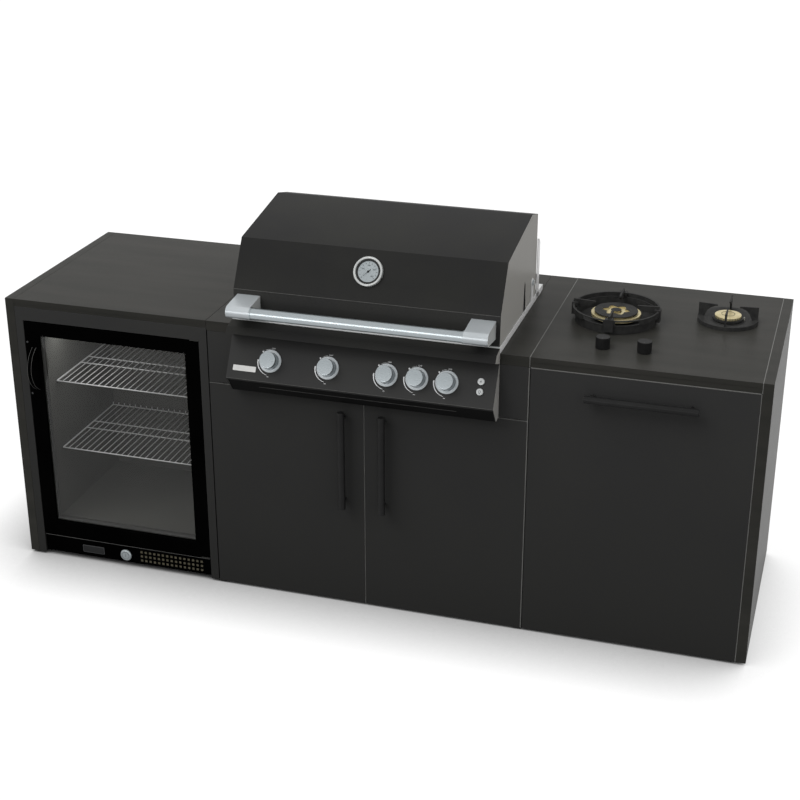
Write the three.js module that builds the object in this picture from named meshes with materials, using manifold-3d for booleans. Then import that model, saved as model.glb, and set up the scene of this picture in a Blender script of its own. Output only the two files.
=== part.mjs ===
// Outdoor kitchen island: a glass-door fridge bay, a built-in gas grill over two doors,
// and a gas bay with two burners over a pull-out front.
// Everything is measured in millimetres from the island's front left foot: X runs right along
// the front, Y runs back from the worktop's front edge, and Z runs up from the floor.
// The last lines move the whole island so that its origin is the middle of its footprint.
import * as THREE from "three";
import { mergeVertices } from "three/addons/utils/BufferGeometryUtils.js";
import Module from "manifold-3d";

const wasm = await Module();
wasm.setup();

// Driving dimensions: the bays of the island follow the fridge and the grill that they hold
const island = {
  height: 910, endPanel: 30, gable: 27.5, shoulder: 88.5, gasBay: 655, rearShoulder: 141,
};
const fridge = {
  width: 600, headroom: 0.7, foot: 16, depth: 520, clearance: 0.4,
  doorZone: 50, baseHeight: 67,
  wallDepth: 41, floor: 49, rearWall: 95, ceiling: 45, skin: 5,
  machineHeight: 60, footRadius: 15, footInset: 32,
  gland: { left: 95, rise: 404, radius: 8, length: 15 },
};
const grill = {
  half: 414, depth: 478, rearDeck: 96, wall: 2.5, front: 0.3, rim: 17, lip: 22, clearance: 0.5,
};

// Clearances: seat is left where a piece rests on or in another, reveal shows round each front,
// and overrun is how far a cutting shape stands past what it cuts
const seat = 0.3;
const reveal = 3;
const overrun = 10;
const mergeDistance = 0.0001;

// Sizes that several pieces share
const glide = { radius: 12, height: 8, inset: 45 };
const leg = { radius: 18, height: 30, inset: 60 };
const sides = { foot: 12, pin: 12, bar: 16, lock: 24, bore: 24, bow: 48, nut: 6, arcSteps: 10 };
const skin = { panel: 12, border: 36 };
const slab = { thickness: 14, edge: 32, border: 18, setBack: 1.5 };
const fridgeEdge = { depth: 25, fascia: 44, railDepth: 20, rearClear: 25 };
const sheet = 2;

// Shape helpers

/** A closed geometry as a solid, with its faces turned outwards. */
function solidFrom(geometry) {
  const bare = geometry.index ? geometry.toNonIndexed() : geometry.clone();
  bare.deleteAttribute("normal");
  bare.deleteAttribute("uv");
  const merged = mergeVertices(bare, mergeDistance);
  const corners = merged.index.array;
  const build = (turned) => {
    const triangles = [];
    for (let first = 0; first < corners.length; first += 3) {
      const [a, b, c] = corners.slice(first, first + 3);
      const flat = a === b || b === c || c === a;
      if (!flat) triangles.push(...(turned ? [a, c, b] : [a, b, c]));
    }
    const vertProperties = merged.attributes.position.array;
    const mesh = new wasm.Mesh({ numProp: 3, vertProperties, triVerts: new Uint32Array(triangles) });
    return new wasm.Manifold(mesh);
  };
  const solid = build(false);
  return solid.volume() < 0 ? build(true) : solid;
}

/** A solid as a geometry. */
function geometryOf(solid) {
  const { vertProperties, triVerts } = solid.getMesh();
  const geometry = new THREE.BufferGeometry();
  geometry.setAttribute("position", new THREE.BufferAttribute(vertProperties, 3));
  geometry.setIndex(new THREE.BufferAttribute(triVerts, 1));
  geometry.computeVertexNormals();
  return geometry;
}

/** A block between two values on each axis. */
function box([x0, x1], [y0, y1], [z0, z1]) {
  const block = new THREE.BoxGeometry(x1 - x0, y1 - y0, z1 - z0);
  return solidFrom(block.translate((x0 + x1) / 2, (y0 + y1) / 2, (z0 + z1) / 2));
}

/** A round bar from one point to another. */
function rod(start, end, radius, count = sides.bar) {
  const from = new THREE.Vector3(...start);
  const line = new THREE.Vector3(...end).sub(from);
  const bar = new THREE.CylinderGeometry(radius, radius, line.length(), count);
  const middle = from.clone().lerp(new THREE.Vector3(...end), 0.5);
  const turn = new THREE.Quaternion().setFromUnitVectors(new THREE.Vector3(0, 1, 0), line.normalize());
  return solidFrom(bar.applyQuaternion(turn).translate(...middle));
}

/** A closed profile of radius and height points turned about an upright axis, as a geometry. */
function turnedShape(profile, count) {
  const outline = profile.map(([radius, height]) => new THREE.Vector2(radius, height));
  return new THREE.LatheGeometry([...outline, outline[0]], count).rotateX(Math.PI / 2);
}

/** A profile turned about the upright axis through a point. */
function turned(profile, count, [x, y, z]) {
  return solidFrom(turnedShape(profile, count).translate(x, y, z));
}

/** A prism along X whose outline is drawn in Y and Z. */
function prism(outline, [x0, x1]) {
  const shape = new THREE.Shape(outline.map(([y, z]) => new THREE.Vector2(y, z)));
  const body = new THREE.ExtrudeGeometry(shape, { depth: x1 - x0, bevelEnabled: false });
  const turn = new THREE.Matrix4().makeBasis(
    new THREE.Vector3(0, 1, 0),
    new THREE.Vector3(0, 0, 1),
    new THREE.Vector3(1, 0, 0),
  );
  return solidFrom(body.applyMatrix4(turn).translate(x0, 0, 0));
}

/** A prism along Z whose outline is drawn in X and Y. */
function plate(outline, [z0, z1]) {
  const shape = new THREE.Shape(outline.map(([x, y]) => new THREE.Vector2(x, y)));
  const body = new THREE.ExtrudeGeometry(shape, { depth: z1 - z0, bevelEnabled: false });
  return solidFrom(body.translate(0, 0, z0));
}

/** Points on an arc about a centre, from one angle to another in degrees. */
function arc([cy, cz], radius, [from, to, steps]) {
  return Array.from({ length: steps + 1 }, (_, step) => {
    const angle = THREE.MathUtils.degToRad(from + ((to - from) * step) / steps);
    return [cy + radius * Math.cos(angle), cz + radius * Math.sin(angle)];
  });
}

/** A line of points moved sideways by a distance, to the left of its run, with mitred corners. */
function parallel(points, distance) {
  const lines = points.slice(1).map((end, i) => {
    const from = new THREE.Vector2(...points[i]);
    const run = new THREE.Vector2(...end).sub(from);
    const side = new THREE.Vector2(-run.y, run.x).normalize();
    return { start: from.addScaledVector(side, distance), run };
  });
  const corners = lines.slice(1).map((line, i) => {
    const before = lines[i];
    const between = line.start.clone().sub(before.start);
    const along = between.cross(line.run) / before.run.cross(line.run);
    return before.start.clone().addScaledVector(before.run, along).toArray();
  });
  const last = lines.at(-1);
  return [lines[0].start.toArray(), ...corners, last.start.clone().add(last.run).toArray()];
}

/** Sheet metal folded along a line of Y and Z points, its thickness on the left of the line. */
function folded(points, thickness, across) {
  return prism([...points, ...parallel(points, thickness).reverse()], across);
}

/** Several solids as one. */
const joined = (...solids) => solids.flat().reduce((whole, piece) => whole.add(piece));

/** A solid with others taken out of it. */
const cut = (solid, ...tools) => tools.flat().reduce((rest, tool) => rest.subtract(tool), solid);

/** What a function makes for the left side and for the right. */
const both = (make) => [-1, 1].map(make);

/** Two ends as a span, the lower one first. */
const ordered = (...ends) => ends.sort((a, b) => a - b);

/** The same amount taken off both ends of a span. */
const inner = ([low, high], amount) => [low + amount, high - amount];

/** A span carried past both its ends, for cutting right through. */
const past = (span) => inner(span, -overrun);

/** The middle of a span. */
const middleOf = ([low, high]) => (low + high) / 2;

// Finishes
const finish = (color, roughness, metalness) => ({ color, roughness, metalness });
const finishes = {
  graphiteFront: finish(0x2f2f2f, 0.6, 0.2),
  stoneTop: finish(0x4b4a47, 0.55, 0),
  stainless: finish(0xb8bcbf, 0.3, 1),
  blackSteel: finish(0x2e2e2d, 0.5, 0.4),
  blackPlastic: finish(0x050505, 0.35, 0),
  castIron: finish(0x242423, 0.75, 0.3),
  brass: finish(0xc8b482, 0.3, 1),
  glass: finish(0x59595a, 0.05, 0),
  liner: finish(0x4a4a49, 0.6, 0),
  wire: finish(0xa9a9ab, 0.4, 0.6),
  rubber: finish(0x151515, 0.9, 0),
  dial: finish(0xd0d4d6, 0.4, 0.3),
};

const group = new THREE.Group();

/** Adds a solid to a group as a named mesh. */
function add(name, solid, look, parent = group) {
  const mesh = new THREE.Mesh(geometryOf(solid), new THREE.MeshStandardMaterial(finishes[look]));
  mesh.name = name;
  parent.add(mesh);
}

// Places that several pieces share
const grillBack = grill.depth + grill.rearDeck;
const depthSpan = [0, grillBack + island.rearShoulder];
const grillSeam = island.endPanel + fridge.width + 2 * island.gable;
const gasSeam = grillSeam + 2 * (grill.half + island.shoulder);
const rightPanelX = gasSeam + island.gasBay;
const underSlab = island.height - slab.edge;
const bay = {
  fridge: [island.endPanel + seat, grillSeam - seat],
  grill: [grillSeam + seat, gasSeam - seat],
  gas: [gasSeam + seat, rightPanelX - seat],
};

/** Round feet under a footprint: front and back, in two rows or in one where it is narrow. */
function feet(xSpan, ySpan, { radius, height, inset }) {
  const narrow = xSpan[1] - xSpan[0] < 2 * inset;
  const rows = narrow ? [middleOf(xSpan)] : inner(xSpan, inset);
  return rows.flatMap((x) =>
    inner(ySpan, inset).map((y) => rod([x, y, 0], [x, y, height + sheet / 2], radius, sides.foot)),
  );
}

// End panels: a stone skin with its edges built up to the full thickness, on two glides
function endPanel(name, x0, skinSide) {
  const across = [x0, x0 + island.endPanel];
  const upright = [glide.height, island.height];
  const fromLeft = [across[0] + skin.panel, across[1] + overrun];
  const fromRight = [across[0] - overrun, across[1] - skin.panel];
  const hollow = skinSide < 0 ? fromLeft : fromRight;
  const board = cut(
    box(across, depthSpan, upright),
    box(hollow, inner(depthSpan, skin.border), inner(upright, skin.border)),
  );
  add(name, joined(board, feet(across, depthSpan, glide)), "stoneTop");
}

endPanel("left_end_panel", 0, -1);
endPanel("right_end_panel", rightPanelX, 1);

// Fridge bay: two folded gables, a fascia rail over the fridge and a rear rail
const fridgeMiddle = middleOf(bay.fridge);
const fridgeX = [fridgeMiddle - fridge.width / 2, fridgeMiddle + fridge.width / 2];
const bayX = inner(fridgeX, -fridge.clearance);
const bayTop = island.height - fridgeEdge.depth - seat;
const gableY = [0, depthSpan[1] - fridgeEdge.rearClear];

function fridgeBay() {
  const upright = [glide.height, bayTop];
  const gables = [
    { span: [bay.fridge[0], bayX[0]], hollow: [bay.fridge[0] - overrun, bayX[0] - sheet] },
    { span: [bayX[1], bay.fridge[1]], hollow: [bayX[1] + sheet, bay.fridge[1] + overrun] },
  ].map(({ span, hollow }) => {
    const pocket = box(hollow, inner(gableY, sheet), inner(upright, sheet));
    return joined(cut(box(span, gableY, upright), pocket), feet(span, gableY, glide));
  });
  const railZ = [bayTop - fridgeEdge.fascia, bayTop];
  const between = inner(bayX, -sheet);
  const fascia = cut(
    box(between, [0, fridgeEdge.railDepth], railZ),
    box(inner(between, sheet), [sheet, fridgeEdge.railDepth + overrun], inner(railZ, sheet)),
  );
  const rearRail = box(between, [gableY[1] - fridgeEdge.railDepth, gableY[1]], railZ);
  add("fridge_bay_frame", joined(gables, fascia, rearRail), "graphiteFront");
}

fridgeBay();

// Worktops: a thin slab with a built-up edge strip set back under its front
// The burners and their knobs stand at shares of the bay's width and the worktop's depth
const hob = {
  wokShares: [0.278, 0.515], smallShares: [0.775, 0.643], knobShares: [0.282, 0.467],
  wokHole: 40, smallHole: 30, spindleHole: 5.3, knobY: 132,
};
const acrossGasBay = (share) => gasSeam + share * island.gasBay;
const onGasBay = ([xShare, yShare]) => [acrossGasBay(xShare), depthSpan[1] * yShare];
const hobKnobX = hob.knobShares.map(acrossGasBay);

function worktop(name, span, edgeDepth, holes = []) {
  const top = box(span, depthSpan, [island.height - slab.thickness, island.height]);
  const edgeZ = [island.height - edgeDepth, island.height - slab.thickness + seat];
  const edgeY = inner(depthSpan, slab.setBack);
  const inside = box(inner(span, slab.border), inner(edgeY, slab.border), past(edgeZ));
  const edge = cut(box(span, edgeY, edgeZ), inside);
  const bores = holes.map(([x, y, radius]) =>
    rod([x, y, island.height - slab.edge], [x, y, island.height + overrun], radius, sides.bore),
  );
  add(name, cut(joined(top, edge), bores), "stoneTop");
}

worktop("worktop_left", bay.fridge, fridgeEdge.depth);
worktop("worktop_right", bay.gas, slab.edge - seat, [
  [...onGasBay(hob.wokShares), hob.wokHole],
  [...onGasBay(hob.smallShares), hob.smallHole],
  ...hobKnobX.map((x) => [x, hob.knobY, hob.spindleHole]),
]);

// Surrounds of the grill: pieces of worktop on both sides and behind, about its centre line
const grillX = middleOf(bay.grill);
const atGrill = ([low, high]) => [grillX + low, grillX + high];
const grillSpan = (half) => atGrill([-half, half]);

function surround(name, xSpan, ySpan) {
  const upright = [underSlab + seat, island.height];
  const board = box(xSpan, ySpan, upright);
  const pocket = box(inner(xSpan, slab.border), inner(ySpan, slab.border), [
    upright[0] - overrun,
    island.height - slab.thickness,
  ]);
  add(name, cut(board, pocket), "stoneTop");
}

const cutout = grillSpan(grill.half + grill.clearance);
surround("surround_left", [bay.grill[0], cutout[0]], depthSpan);
surround("surround_right", [cutout[1], bay.grill[1]], depthSpan);
surround("surround_back", inner(cutout, seat), [grillBack + grill.clearance, depthSpan[1]]);

// Steel cabinets under the grill and the burners
const cabinet = { front: 20, rearInset: 15, deckLap: 28, railLap: 40, lipWidth: 14 };
const front = {
  thickness: 18, bottom: 8, headGap: 5, fascia: 167,
  pinInset: 6, pinSetBack: 6, pinRadius: 2.5, pinLength: 6, pinPlay: 0.3,
  bracketReach: 24, bracketThick: 4,
};
const cabinetY = [cabinet.front, depthSpan[1] - cabinet.rearInset];
const cabinetZ = [leg.height, underSlab];
const fasciaZ = [underSlab - front.fascia, underSlab - seat];
const doorZ = [front.bottom, fasciaZ[0] - front.headGap];

/** An open-fronted sheet box on four legs, with an opening in its top. */
function carcass(span, openingX, openingY) {
  const shell = cut(
    box(span, cabinetY, cabinetZ),
    box(inner(span, sheet), [cabinet.front - overrun, cabinetY[1] - sheet], inner(cabinetZ, sheet)),
    box(openingX, openingY, [underSlab - overrun, underSlab + overrun]),
  );
  return joined(shell, feet(span, cabinetY, leg));
}

/** The two small brackets with their pivot pins that a cabinet door turns on. */
function doorPivots(edgeX, side) {
  const pinX = edgeX - side * front.pinInset;
  const outer = side < 0 ? bay.grill[0] : bay.grill[1];
  const reach = ordered(outer, edgeX - side * front.bracketReach);
  const riser = ordered(outer, outer - side * sheet);
  const plateY = [sheet, cabinet.front + front.bracketReach];
  const riserY = [cabinet.front, cabinet.front + front.bracketReach];
  const lower = [doorZ[0] - seat - front.bracketThick, doorZ[0] - seat];
  const upper = [doorZ[1] + seat, doorZ[1] + seat + front.bracketThick];
  const at = (z) => [pinX, front.pinSetBack, z];
  const pin = (from, to) => rod(at(from), at(to), front.pinRadius, sides.pin);
  return [
    box(reach, plateY, lower),
    box(riser, riserY, [lower[0], leg.height + sheet]),
    box(reach, plateY, upper),
    pin(lower[0], lower[1] + front.pinLength),
    pin(upper[0] - front.pinLength, upper[1]),
  ];
}

const doorEdges = { left: grillSeam + reveal, right: gasSeam - reveal };

function grillCabinet() {
  const fascias = both((side) => {
    const outer = side < 0 ? doorEdges.left : doorEdges.right;
    const span = ordered(outer, grillX + side * (grill.half + grill.clearance));
    const returnY = cabinet.front + sheet;
    return cut(
      box(span, [0, returnY], fasciaZ),
      box(inner(span, sheet), [sheet, returnY + overrun], inner(fasciaZ, sheet)),
    );
  });
  const pivots = [doorPivots(doorEdges.left, -1), doorPivots(doorEdges.right, 1)].flat();
  const shell = carcass(
    bay.grill,
    grillSpan(grill.half - cabinet.deckLap),
    [cabinet.front - overrun, grillBack - cabinet.deckLap],
  );
  add("grill_cabinet", joined(shell, fascias, pivots), "graphiteFront");
}

grillCabinet();

const inlet = { height: 160, hole: 22, flange: 26, flangeThick: 4, body: 12, nipple: 7, reach: 12, tail: 30 };
const gasInletX = middleOf(bay.gas);
const drawer = {
  rail: { width: 12, height: 18, bottom: 100, front: 30, rearInset: 60 },
  sideClear: 1, floor: 40, wallTop: 330, rearRoom: 121.7,
};

function gasCabinet() {
  const rails = both((side) => {
    const wall = side < 0 ? bay.gas[0] + sheet / 2 : bay.gas[1] - sheet / 2;
    const nose = wall - side * (drawer.rail.width + sheet / 2);
    return box(ordered(wall, nose), [drawer.rail.front, cabinetY[1] - drawer.rail.rearInset], [
      drawer.rail.bottom,
      drawer.rail.bottom + drawer.rail.height,
    ]);
  });
  const shell = carcass(
    bay.gas,
    inner(bay.gas, sheet),
    [cabinet.front + cabinet.lipWidth, cabinetY[1] - cabinet.railLap],
  );
  const hole = rod(
    [gasInletX, cabinetY[1] - overrun, inlet.height],
    [gasInletX, cabinetY[1] + overrun, inlet.height],
    inlet.hole,
  );
  add("gas_cabinet", joined(cut(shell, hole), rails), "graphiteFront");
}

gasCabinet();

// Doors and drawer front: folded pans, open at the back
function pan(span, upright) {
  return cut(
    box(span, [0, front.thickness], upright),
    box(inner(span, sheet), [sheet, front.thickness + overrun], inner(upright, sheet)),
  );
}

const barHandle = { length: 325, radius: 11, reach: 30, postRadius: 6, postSpacing: 280 };

/** A bar handle on two posts, its bar running along X or Z. */
function handle(name, [x, z], upright) {
  const at = (along, y) => (upright ? [x, y, z + along] : [x + along, y, z]);
  const half = barHandle.length / 2;
  const bar = rod(at(-half, -barHandle.reach), at(half, -barHandle.reach), barHandle.radius);
  const posts = both((side) => {
    const along = (side * barHandle.postSpacing) / 2;
    return rod(at(along, -barHandle.reach), at(along, -seat), barHandle.postRadius, sides.pin);
  });
  add(name, joined(bar, posts), "blackSteel");
}

const doorPull = { sideInset: 62, topInset: 194, drawerTopInset: 63 };

function cabinetDoor(side, label) {
  const edge = side < 0 ? doorEdges.left : doorEdges.right;
  const meeting = grillX + (side * reveal) / 2;
  const span = ordered(edge, meeting);
  const pinX = edge - side * front.pinInset;
  const pinHole = rod(
    [pinX, front.pinSetBack, doorZ[0] - overrun],
    [pinX, front.pinSetBack, doorZ[1] + overrun],
    front.pinRadius + front.pinPlay,
    sides.pin,
  );
  add(`cabinet_door_${label}`, cut(pan(span, doorZ), pinHole), "graphiteFront");
  const pull = [meeting + side * doorPull.sideInset, doorZ[1] - doorPull.topInset];
  handle(`door_handle_${label}`, pull, true);
}

cabinetDoor(-1, "left");
cabinetDoor(1, "right");

/** The gas bay's pull-out: a front with its handle, which closes the open front of a box on rails. */
function gasDrawer() {
  const frontX = [gasSeam + reveal, rightPanelX - reveal];
  const frontZ = [front.bottom, underSlab - reveal];
  add("gas_drawer_front", pan(frontX, frontZ), "graphiteFront");
  handle("gas_drawer_handle", [middleOf(frontX), frontZ[1] - doorPull.drawerTopInset], false);
  const boxX = inner(bay.gas, sheet + drawer.rail.width + drawer.sideClear);
  const boxY = [front.thickness + seat, cabinetY[1] - drawer.rearRoom];
  const boxZ = [drawer.floor, drawer.wallTop];
  const flangeZ = drawer.rail.bottom + drawer.rail.height + seat;
  const flange = box(inner(boxX, -drawer.rail.width), boxY, [flangeZ, flangeZ + sheet]);
  const outside = joined(box(boxX, boxY, boxZ), flange);
  const insideZ = [drawer.floor + sheet, drawer.wallTop + overrun];
  const inside = box(inner(boxX, sheet), [boxY[0] - overrun, boxY[1] - sheet], insideZ);
  add("gas_drawer_box", cut(outside, inside), "blackSteel");
}

gasDrawer();

// Gas inlet: a hose nipple through the back of the gas cabinet
function gasInlet() {
  const at = (y) => [gasInletX, y, inlet.height];
  const plateY = cabinetY[1] + seat;
  add(
    "gas_inlet",
    joined(
      rod(at(plateY), at(plateY + inlet.flangeThick), inlet.flange),
      rod(at(cabinetY[1] - inlet.tail), at(plateY + inlet.flangeThick / 2), inlet.body),
      rod(at(plateY), at(plateY + inlet.reach), inlet.nipple),
    ),
    "brass",
  );
}

gasInlet();

// Fridge: a casing round a liner that is open at the front, with shelf ribs and door pivots
const fridgeZ = [fridge.foot, bayTop - fridgeEdge.fascia - fridge.headroom];
const fridgeY = [fridge.doorZone, fridge.doorZone + fridge.depth];
const fridgeDoor = {
  sideClear: 1.5, gap: 3.5, thickness: 40,
  stile: 47, topRail: 44, bottomRail: 52, wall: 3,
  rebate: 9, lap: 10, glass: 20, glassPlay: 0.6,
  pinInset: 14, pinSetBack: 6, pinRadius: 4, pinLength: 12, pinPlay: 0.3,
  bracketHalf: 15, bracketThick: 3,
  gasketInset: 16, gasketWidth: 22, gasketClear: 0.3,
};
const fridgeDoorX = inner(fridgeX, fridgeDoor.sideClear);
const fridgeDoorZ = [
  fridgeZ[0] + fridge.baseHeight,
  fridgeZ[1] - fridgeDoor.bracketThick - seat,
];
const fridgePinX = fridgeDoorX[1] - fridgeDoor.pinInset;
const cavity = {
  x: inner(fridgeX, fridge.wallDepth),
  y: [fridgeY[0] - overrun, fridgeY[1] - fridge.rearWall],
  z: [fridgeDoorZ[0] + fridge.floor, fridgeZ[1] - fridge.ceiling],
};
const shelf = {
  levelShares: [0.341, 0.703], rib: 8, ribHeight: 6, wire: 3, rail: 5, front: 45, back: 10, sideClear: 1.5,
  wires: 25, crossWires: 4,
};
const shelfLevels = shelf.levelShares.map((share) => cavity.z[0] + share * (cavity.z[1] - cavity.z[0]));

const onFridgePin = (z) => [fridgePinX, fridgeDoor.pinSetBack, z];

function fridgeCabinet() {
  const block = box(fridgeX, fridgeY, fridgeZ);
  const hollow = box(cavity.x, cavity.y, cavity.z);
  const liner = box(
    inner(cavity.x, -fridge.skin),
    [cavity.y[0], cavity.y[1] + fridge.skin],
    inner(cavity.z, -fridge.skin),
  );
  const within = [fridgeX, fridgeY, fridgeZ].map((span) => inner(span, fridge.skin));
  const wallSpace = cut(box(...within), liner);
  const machineOpening = box(
    inner(fridgeX, fridge.wallDepth),
    [fridgeY[1] - overrun, fridgeY[1] + overrun],
    [fridgeZ[0] + fridge.skin, fridgeZ[0] + fridge.machineHeight],
  );
  const ribs = shelfLevels.flatMap((level) =>
    both((side) => {
      const wall = side < 0 ? cavity.x[0] : cavity.x[1];
      const span = ordered(wall + (side * fridge.skin) / 2, wall - side * shelf.rib);
      const run = [fridgeY[0] + shelf.front, cavity.y[1] + fridge.skin / 2];
      return box(span, run, [level - seat - shelf.ribHeight, level - seat]);
    }),
  );
  const bracketX = [fridgePinX - fridgeDoor.bracketHalf, fridgePinX + fridgeDoor.pinInset];
  const bracketY = [sheet, fridgeY[0] + overrun];
  const topZ = [fridgeZ[1] - fridgeDoor.bracketThick, fridgeZ[1]];
  const lowZ = [fridgeDoorZ[0] - seat - fridgeDoor.bracketThick, fridgeDoorZ[0] - seat];
  const pin = (from, to) => rod(onFridgePin(from), onFridgePin(to), fridgeDoor.pinRadius, sides.pin);
  const brackets = [
    box(bracketX, bracketY, topZ),
    box(bracketX, bracketY, lowZ),
    pin(topZ[0] - fridgeDoor.pinLength, topZ[1]),
    pin(lowZ[0], lowZ[1] + fridgeDoor.pinLength),
  ];
  const stands = feet(fridgeX, fridgeY, {
    radius: fridge.footRadius,
    height: fridge.foot,
    inset: fridge.footInset,
  });
  const glandAt = (y) => [fridgeX[0] + fridge.gland.left, y, fridgeZ[0] + fridge.gland.rise];
  const gland = rod(
    glandAt(fridgeY[1] - fridge.skin / 2),
    glandAt(fridgeY[1] + fridge.gland.length),
    fridge.gland.radius,
    sides.foot,
  );
  const casing = cut(block, hollow, wallSpace, machineOpening);
  add("fridge_cabinet", joined(casing, ribs, brackets, stands, gland), "liner");
}

fridgeCabinet();

/** The gaps between evenly spaced bars that fill a span. */
function gapsBetween([low, high], [count, bar]) {
  const pitch = (high - low - bar) / (count - 1);
  return Array.from({ length: count - 1 }, (_, i) => [low + pitch * i + bar, low + pitch * (i + 1)]);
}

/** A flat grid: a plate with a gap cut between each two bars, both ways. */
function grid(xSpan, ySpan, upright, xBars, yBars) {
  const gaps = gapsBetween(xSpan, xBars).flatMap((x) =>
    gapsBetween(ySpan, yBars).map((y) => box(x, y, past(upright))),
  );
  return cut(box(xSpan, ySpan, upright), gaps);
}

/** A wire shelf with a rail along its front and its back. */
function wireShelf(name, level) {
  const span = inner(cavity.x, shelf.sideClear);
  const run = [fridgeY[0] + shelf.front, cavity.y[1] - shelf.back];
  const upright = [level, level + shelf.wire];
  const wires = grid(span, run, upright, [shelf.wires, shelf.wire], [shelf.crossWires, shelf.rail]);
  const rails = [[run[0], run[0] + shelf.rail], [run[1] - shelf.rail, run[1]]].map((along) =>
    box(span, along, [level, level + shelf.rail]),
  );
  add(name, joined(wires, rails), "wire");
}

wireShelf("fridge_shelf_lower", shelfLevels[0]);
wireShelf("fridge_shelf_upper", shelfLevels[1]);

const doorOpening = {
  x: inner(fridgeDoorX, fridgeDoor.stile),
  z: [fridgeDoorZ[0] + fridgeDoor.bottomRail, fridgeDoorZ[1] - fridgeDoor.topRail],
};

function fridgeDoorFrame() {
  const thick = [0, fridgeDoor.thickness];
  const rebateX = inner(doorOpening.x, -fridgeDoor.lap);
  const rebateZ = inner(doorOpening.z, -fridgeDoor.lap);
  const behind = [fridgeDoor.rebate, fridgeDoor.thickness + overrun];
  const tubeWall = fridgeDoor.wall;
  const channel = cut(
    box(inner(fridgeDoorX, tubeWall), behind, inner(fridgeDoorZ, tubeWall)),
    box(inner(rebateX, -tubeWall), past(behind), inner(rebateZ, -tubeWall)),
  );
  const deep = fridgeDoor.pinLength + seat;
  const holes = [
    [fridgeDoorZ[0] - overrun, fridgeDoorZ[0] + deep],
    [fridgeDoorZ[1] - deep, fridgeDoorZ[1] + overrun],
  ].map(([low, high]) =>
    rod(onFridgePin(low), onFridgePin(high), fridgeDoor.pinRadius + fridgeDoor.pinPlay, sides.pin),
  );
  const frame = cut(
    box(fridgeDoorX, thick, fridgeDoorZ),
    box(doorOpening.x, past(thick), doorOpening.z),
    box(rebateX, behind, rebateZ),
    channel,
    holes,
  );
  add("fridge_door_frame", frame, "blackPlastic");
  const paneY = [fridgeDoor.rebate + seat, fridgeDoor.rebate + seat + fridgeDoor.glass];
  const paneX = inner(rebateX, fridgeDoor.glassPlay);
  const paneZ = inner(rebateZ, fridgeDoor.glassPlay);
  add("fridge_door_glass", box(paneX, paneY, paneZ), "glass");
  const gasketX = inner(fridgeDoorX, fridgeDoor.gasketInset);
  const gasketZ = inner(fridgeDoorZ, fridgeDoor.gasketInset);
  const gasketY = [fridgeDoor.thickness + seat, fridgeY[0] - fridgeDoor.gasketClear];
  const within = [inner(gasketX, fridgeDoor.gasketWidth), inner(gasketZ, fridgeDoor.gasketWidth)];
  const gasket = cut(box(gasketX, gasketY, gasketZ), box(within[0], past(gasketY), within[1]));
  add("fridge_door_gasket", gasket, "rubber");
}

fridgeDoorFrame();

// Bow handle of the fridge door on its mounting strip
const bow = {
  stripWidth: 37, stripHeight: 196, stripThick: 1.5, top: 58, edge: 1,
  chord: 146, rise: 45, band: 8, width: 14, inset: 22,
};

function fridgeHandle() {
  const stripX = [fridgeDoorX[0] + bow.edge, fridgeDoorX[0] + bow.edge + bow.stripWidth];
  const stripZ = [fridgeDoorZ[1] - bow.top - bow.stripHeight, fridgeDoorZ[1] - bow.top];
  const strip = box(stripX, [-seat - bow.stripThick, -seat], stripZ);
  const radius = ((bow.chord / 2) ** 2 + bow.rise ** 2) / (2 * bow.rise);
  const centre = [radius - bow.rise, middleOf(stripZ)];
  const bandX = [stripX[0] + bow.inset, stripX[0] + bow.inset + bow.width];
  const [from, to] = past(bandX);
  const ring = (size) => rod([from, ...centre], [to, ...centre], size, sides.bow);
  const slice = box(bandX, [-bow.rise - overrun, -seat - bow.stripThick / 2], past(stripZ));
  const band = cut(ring(radius), ring(radius - bow.band)).intersect(slice);
  add("fridge_door_handle", joined(strip, band), "blackPlastic");
}

fridgeHandle();

// Base strip of the fridge with its display window and vent grid, and the door lock in it
const strip = {
  front: 4, wall: 3, sideClear: 2, bottom: 1,
  display: { left: 138, right: 216, low: 15, high: 41, proud: 1 },
  lock: { left: 296, height: 28, radius: 20, bore: 9, proud: 8, dome: 3, shaft: 22, play: 0.3 },
  vent: { left: 351, width: 215, low: 14, high: 45, columns: 15, rows: 3, size: 8.5 },
};
const stripX = inner(fridgeX, strip.sideClear);
const stripZ = [fridgeZ[0] + strip.bottom, fridgeDoorZ[0] - fridgeDoor.gap - fridgeDoor.bracketThick];
const lockAt = [fridgeX[0] + strip.lock.left, fridgeZ[0] + strip.lock.height];

function baseStrip() {
  const thick = [strip.front, fridgeY[0] - seat];
  const hollow = [strip.front + strip.wall, thick[1] + overrun];
  const inside = box(inner(stripX, strip.wall), hollow, inner(stripZ, strip.wall));
  const shell = cut(box(stripX, thick, stripZ), inside);
  const display = box(
    [fridgeX[0] + strip.display.left, fridgeX[0] + strip.display.right],
    [strip.front - strip.display.proud, strip.front + strip.wall],
    [fridgeZ[0] + strip.display.low, fridgeZ[0] + strip.display.high],
  );
  const through = past([strip.front, strip.front + strip.wall]);
  const { left, width, low, high, columns, rows, size } = strip.vent;
  const vents = Array.from({ length: columns * rows }, (_, i) => {
    const x = fridgeX[0] + left + (width * (i % columns)) / (columns - 1);
    const z = fridgeZ[0] + low + ((high - low) * Math.floor(i / columns)) / (rows - 1);
    return box([x - size / 2, x + size / 2], through, [z - size / 2, z + size / 2]);
  });
  const [x, z] = lockAt;
  const lockRadius = strip.lock.bore + strip.lock.play;
  const lockHole = rod([x, through[0], z], [x, through[1], z], lockRadius, sides.lock);
  add("fridge_base_strip", cut(joined(shell, display), vents, lockHole), "blackPlastic");
}

baseStrip();

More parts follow.
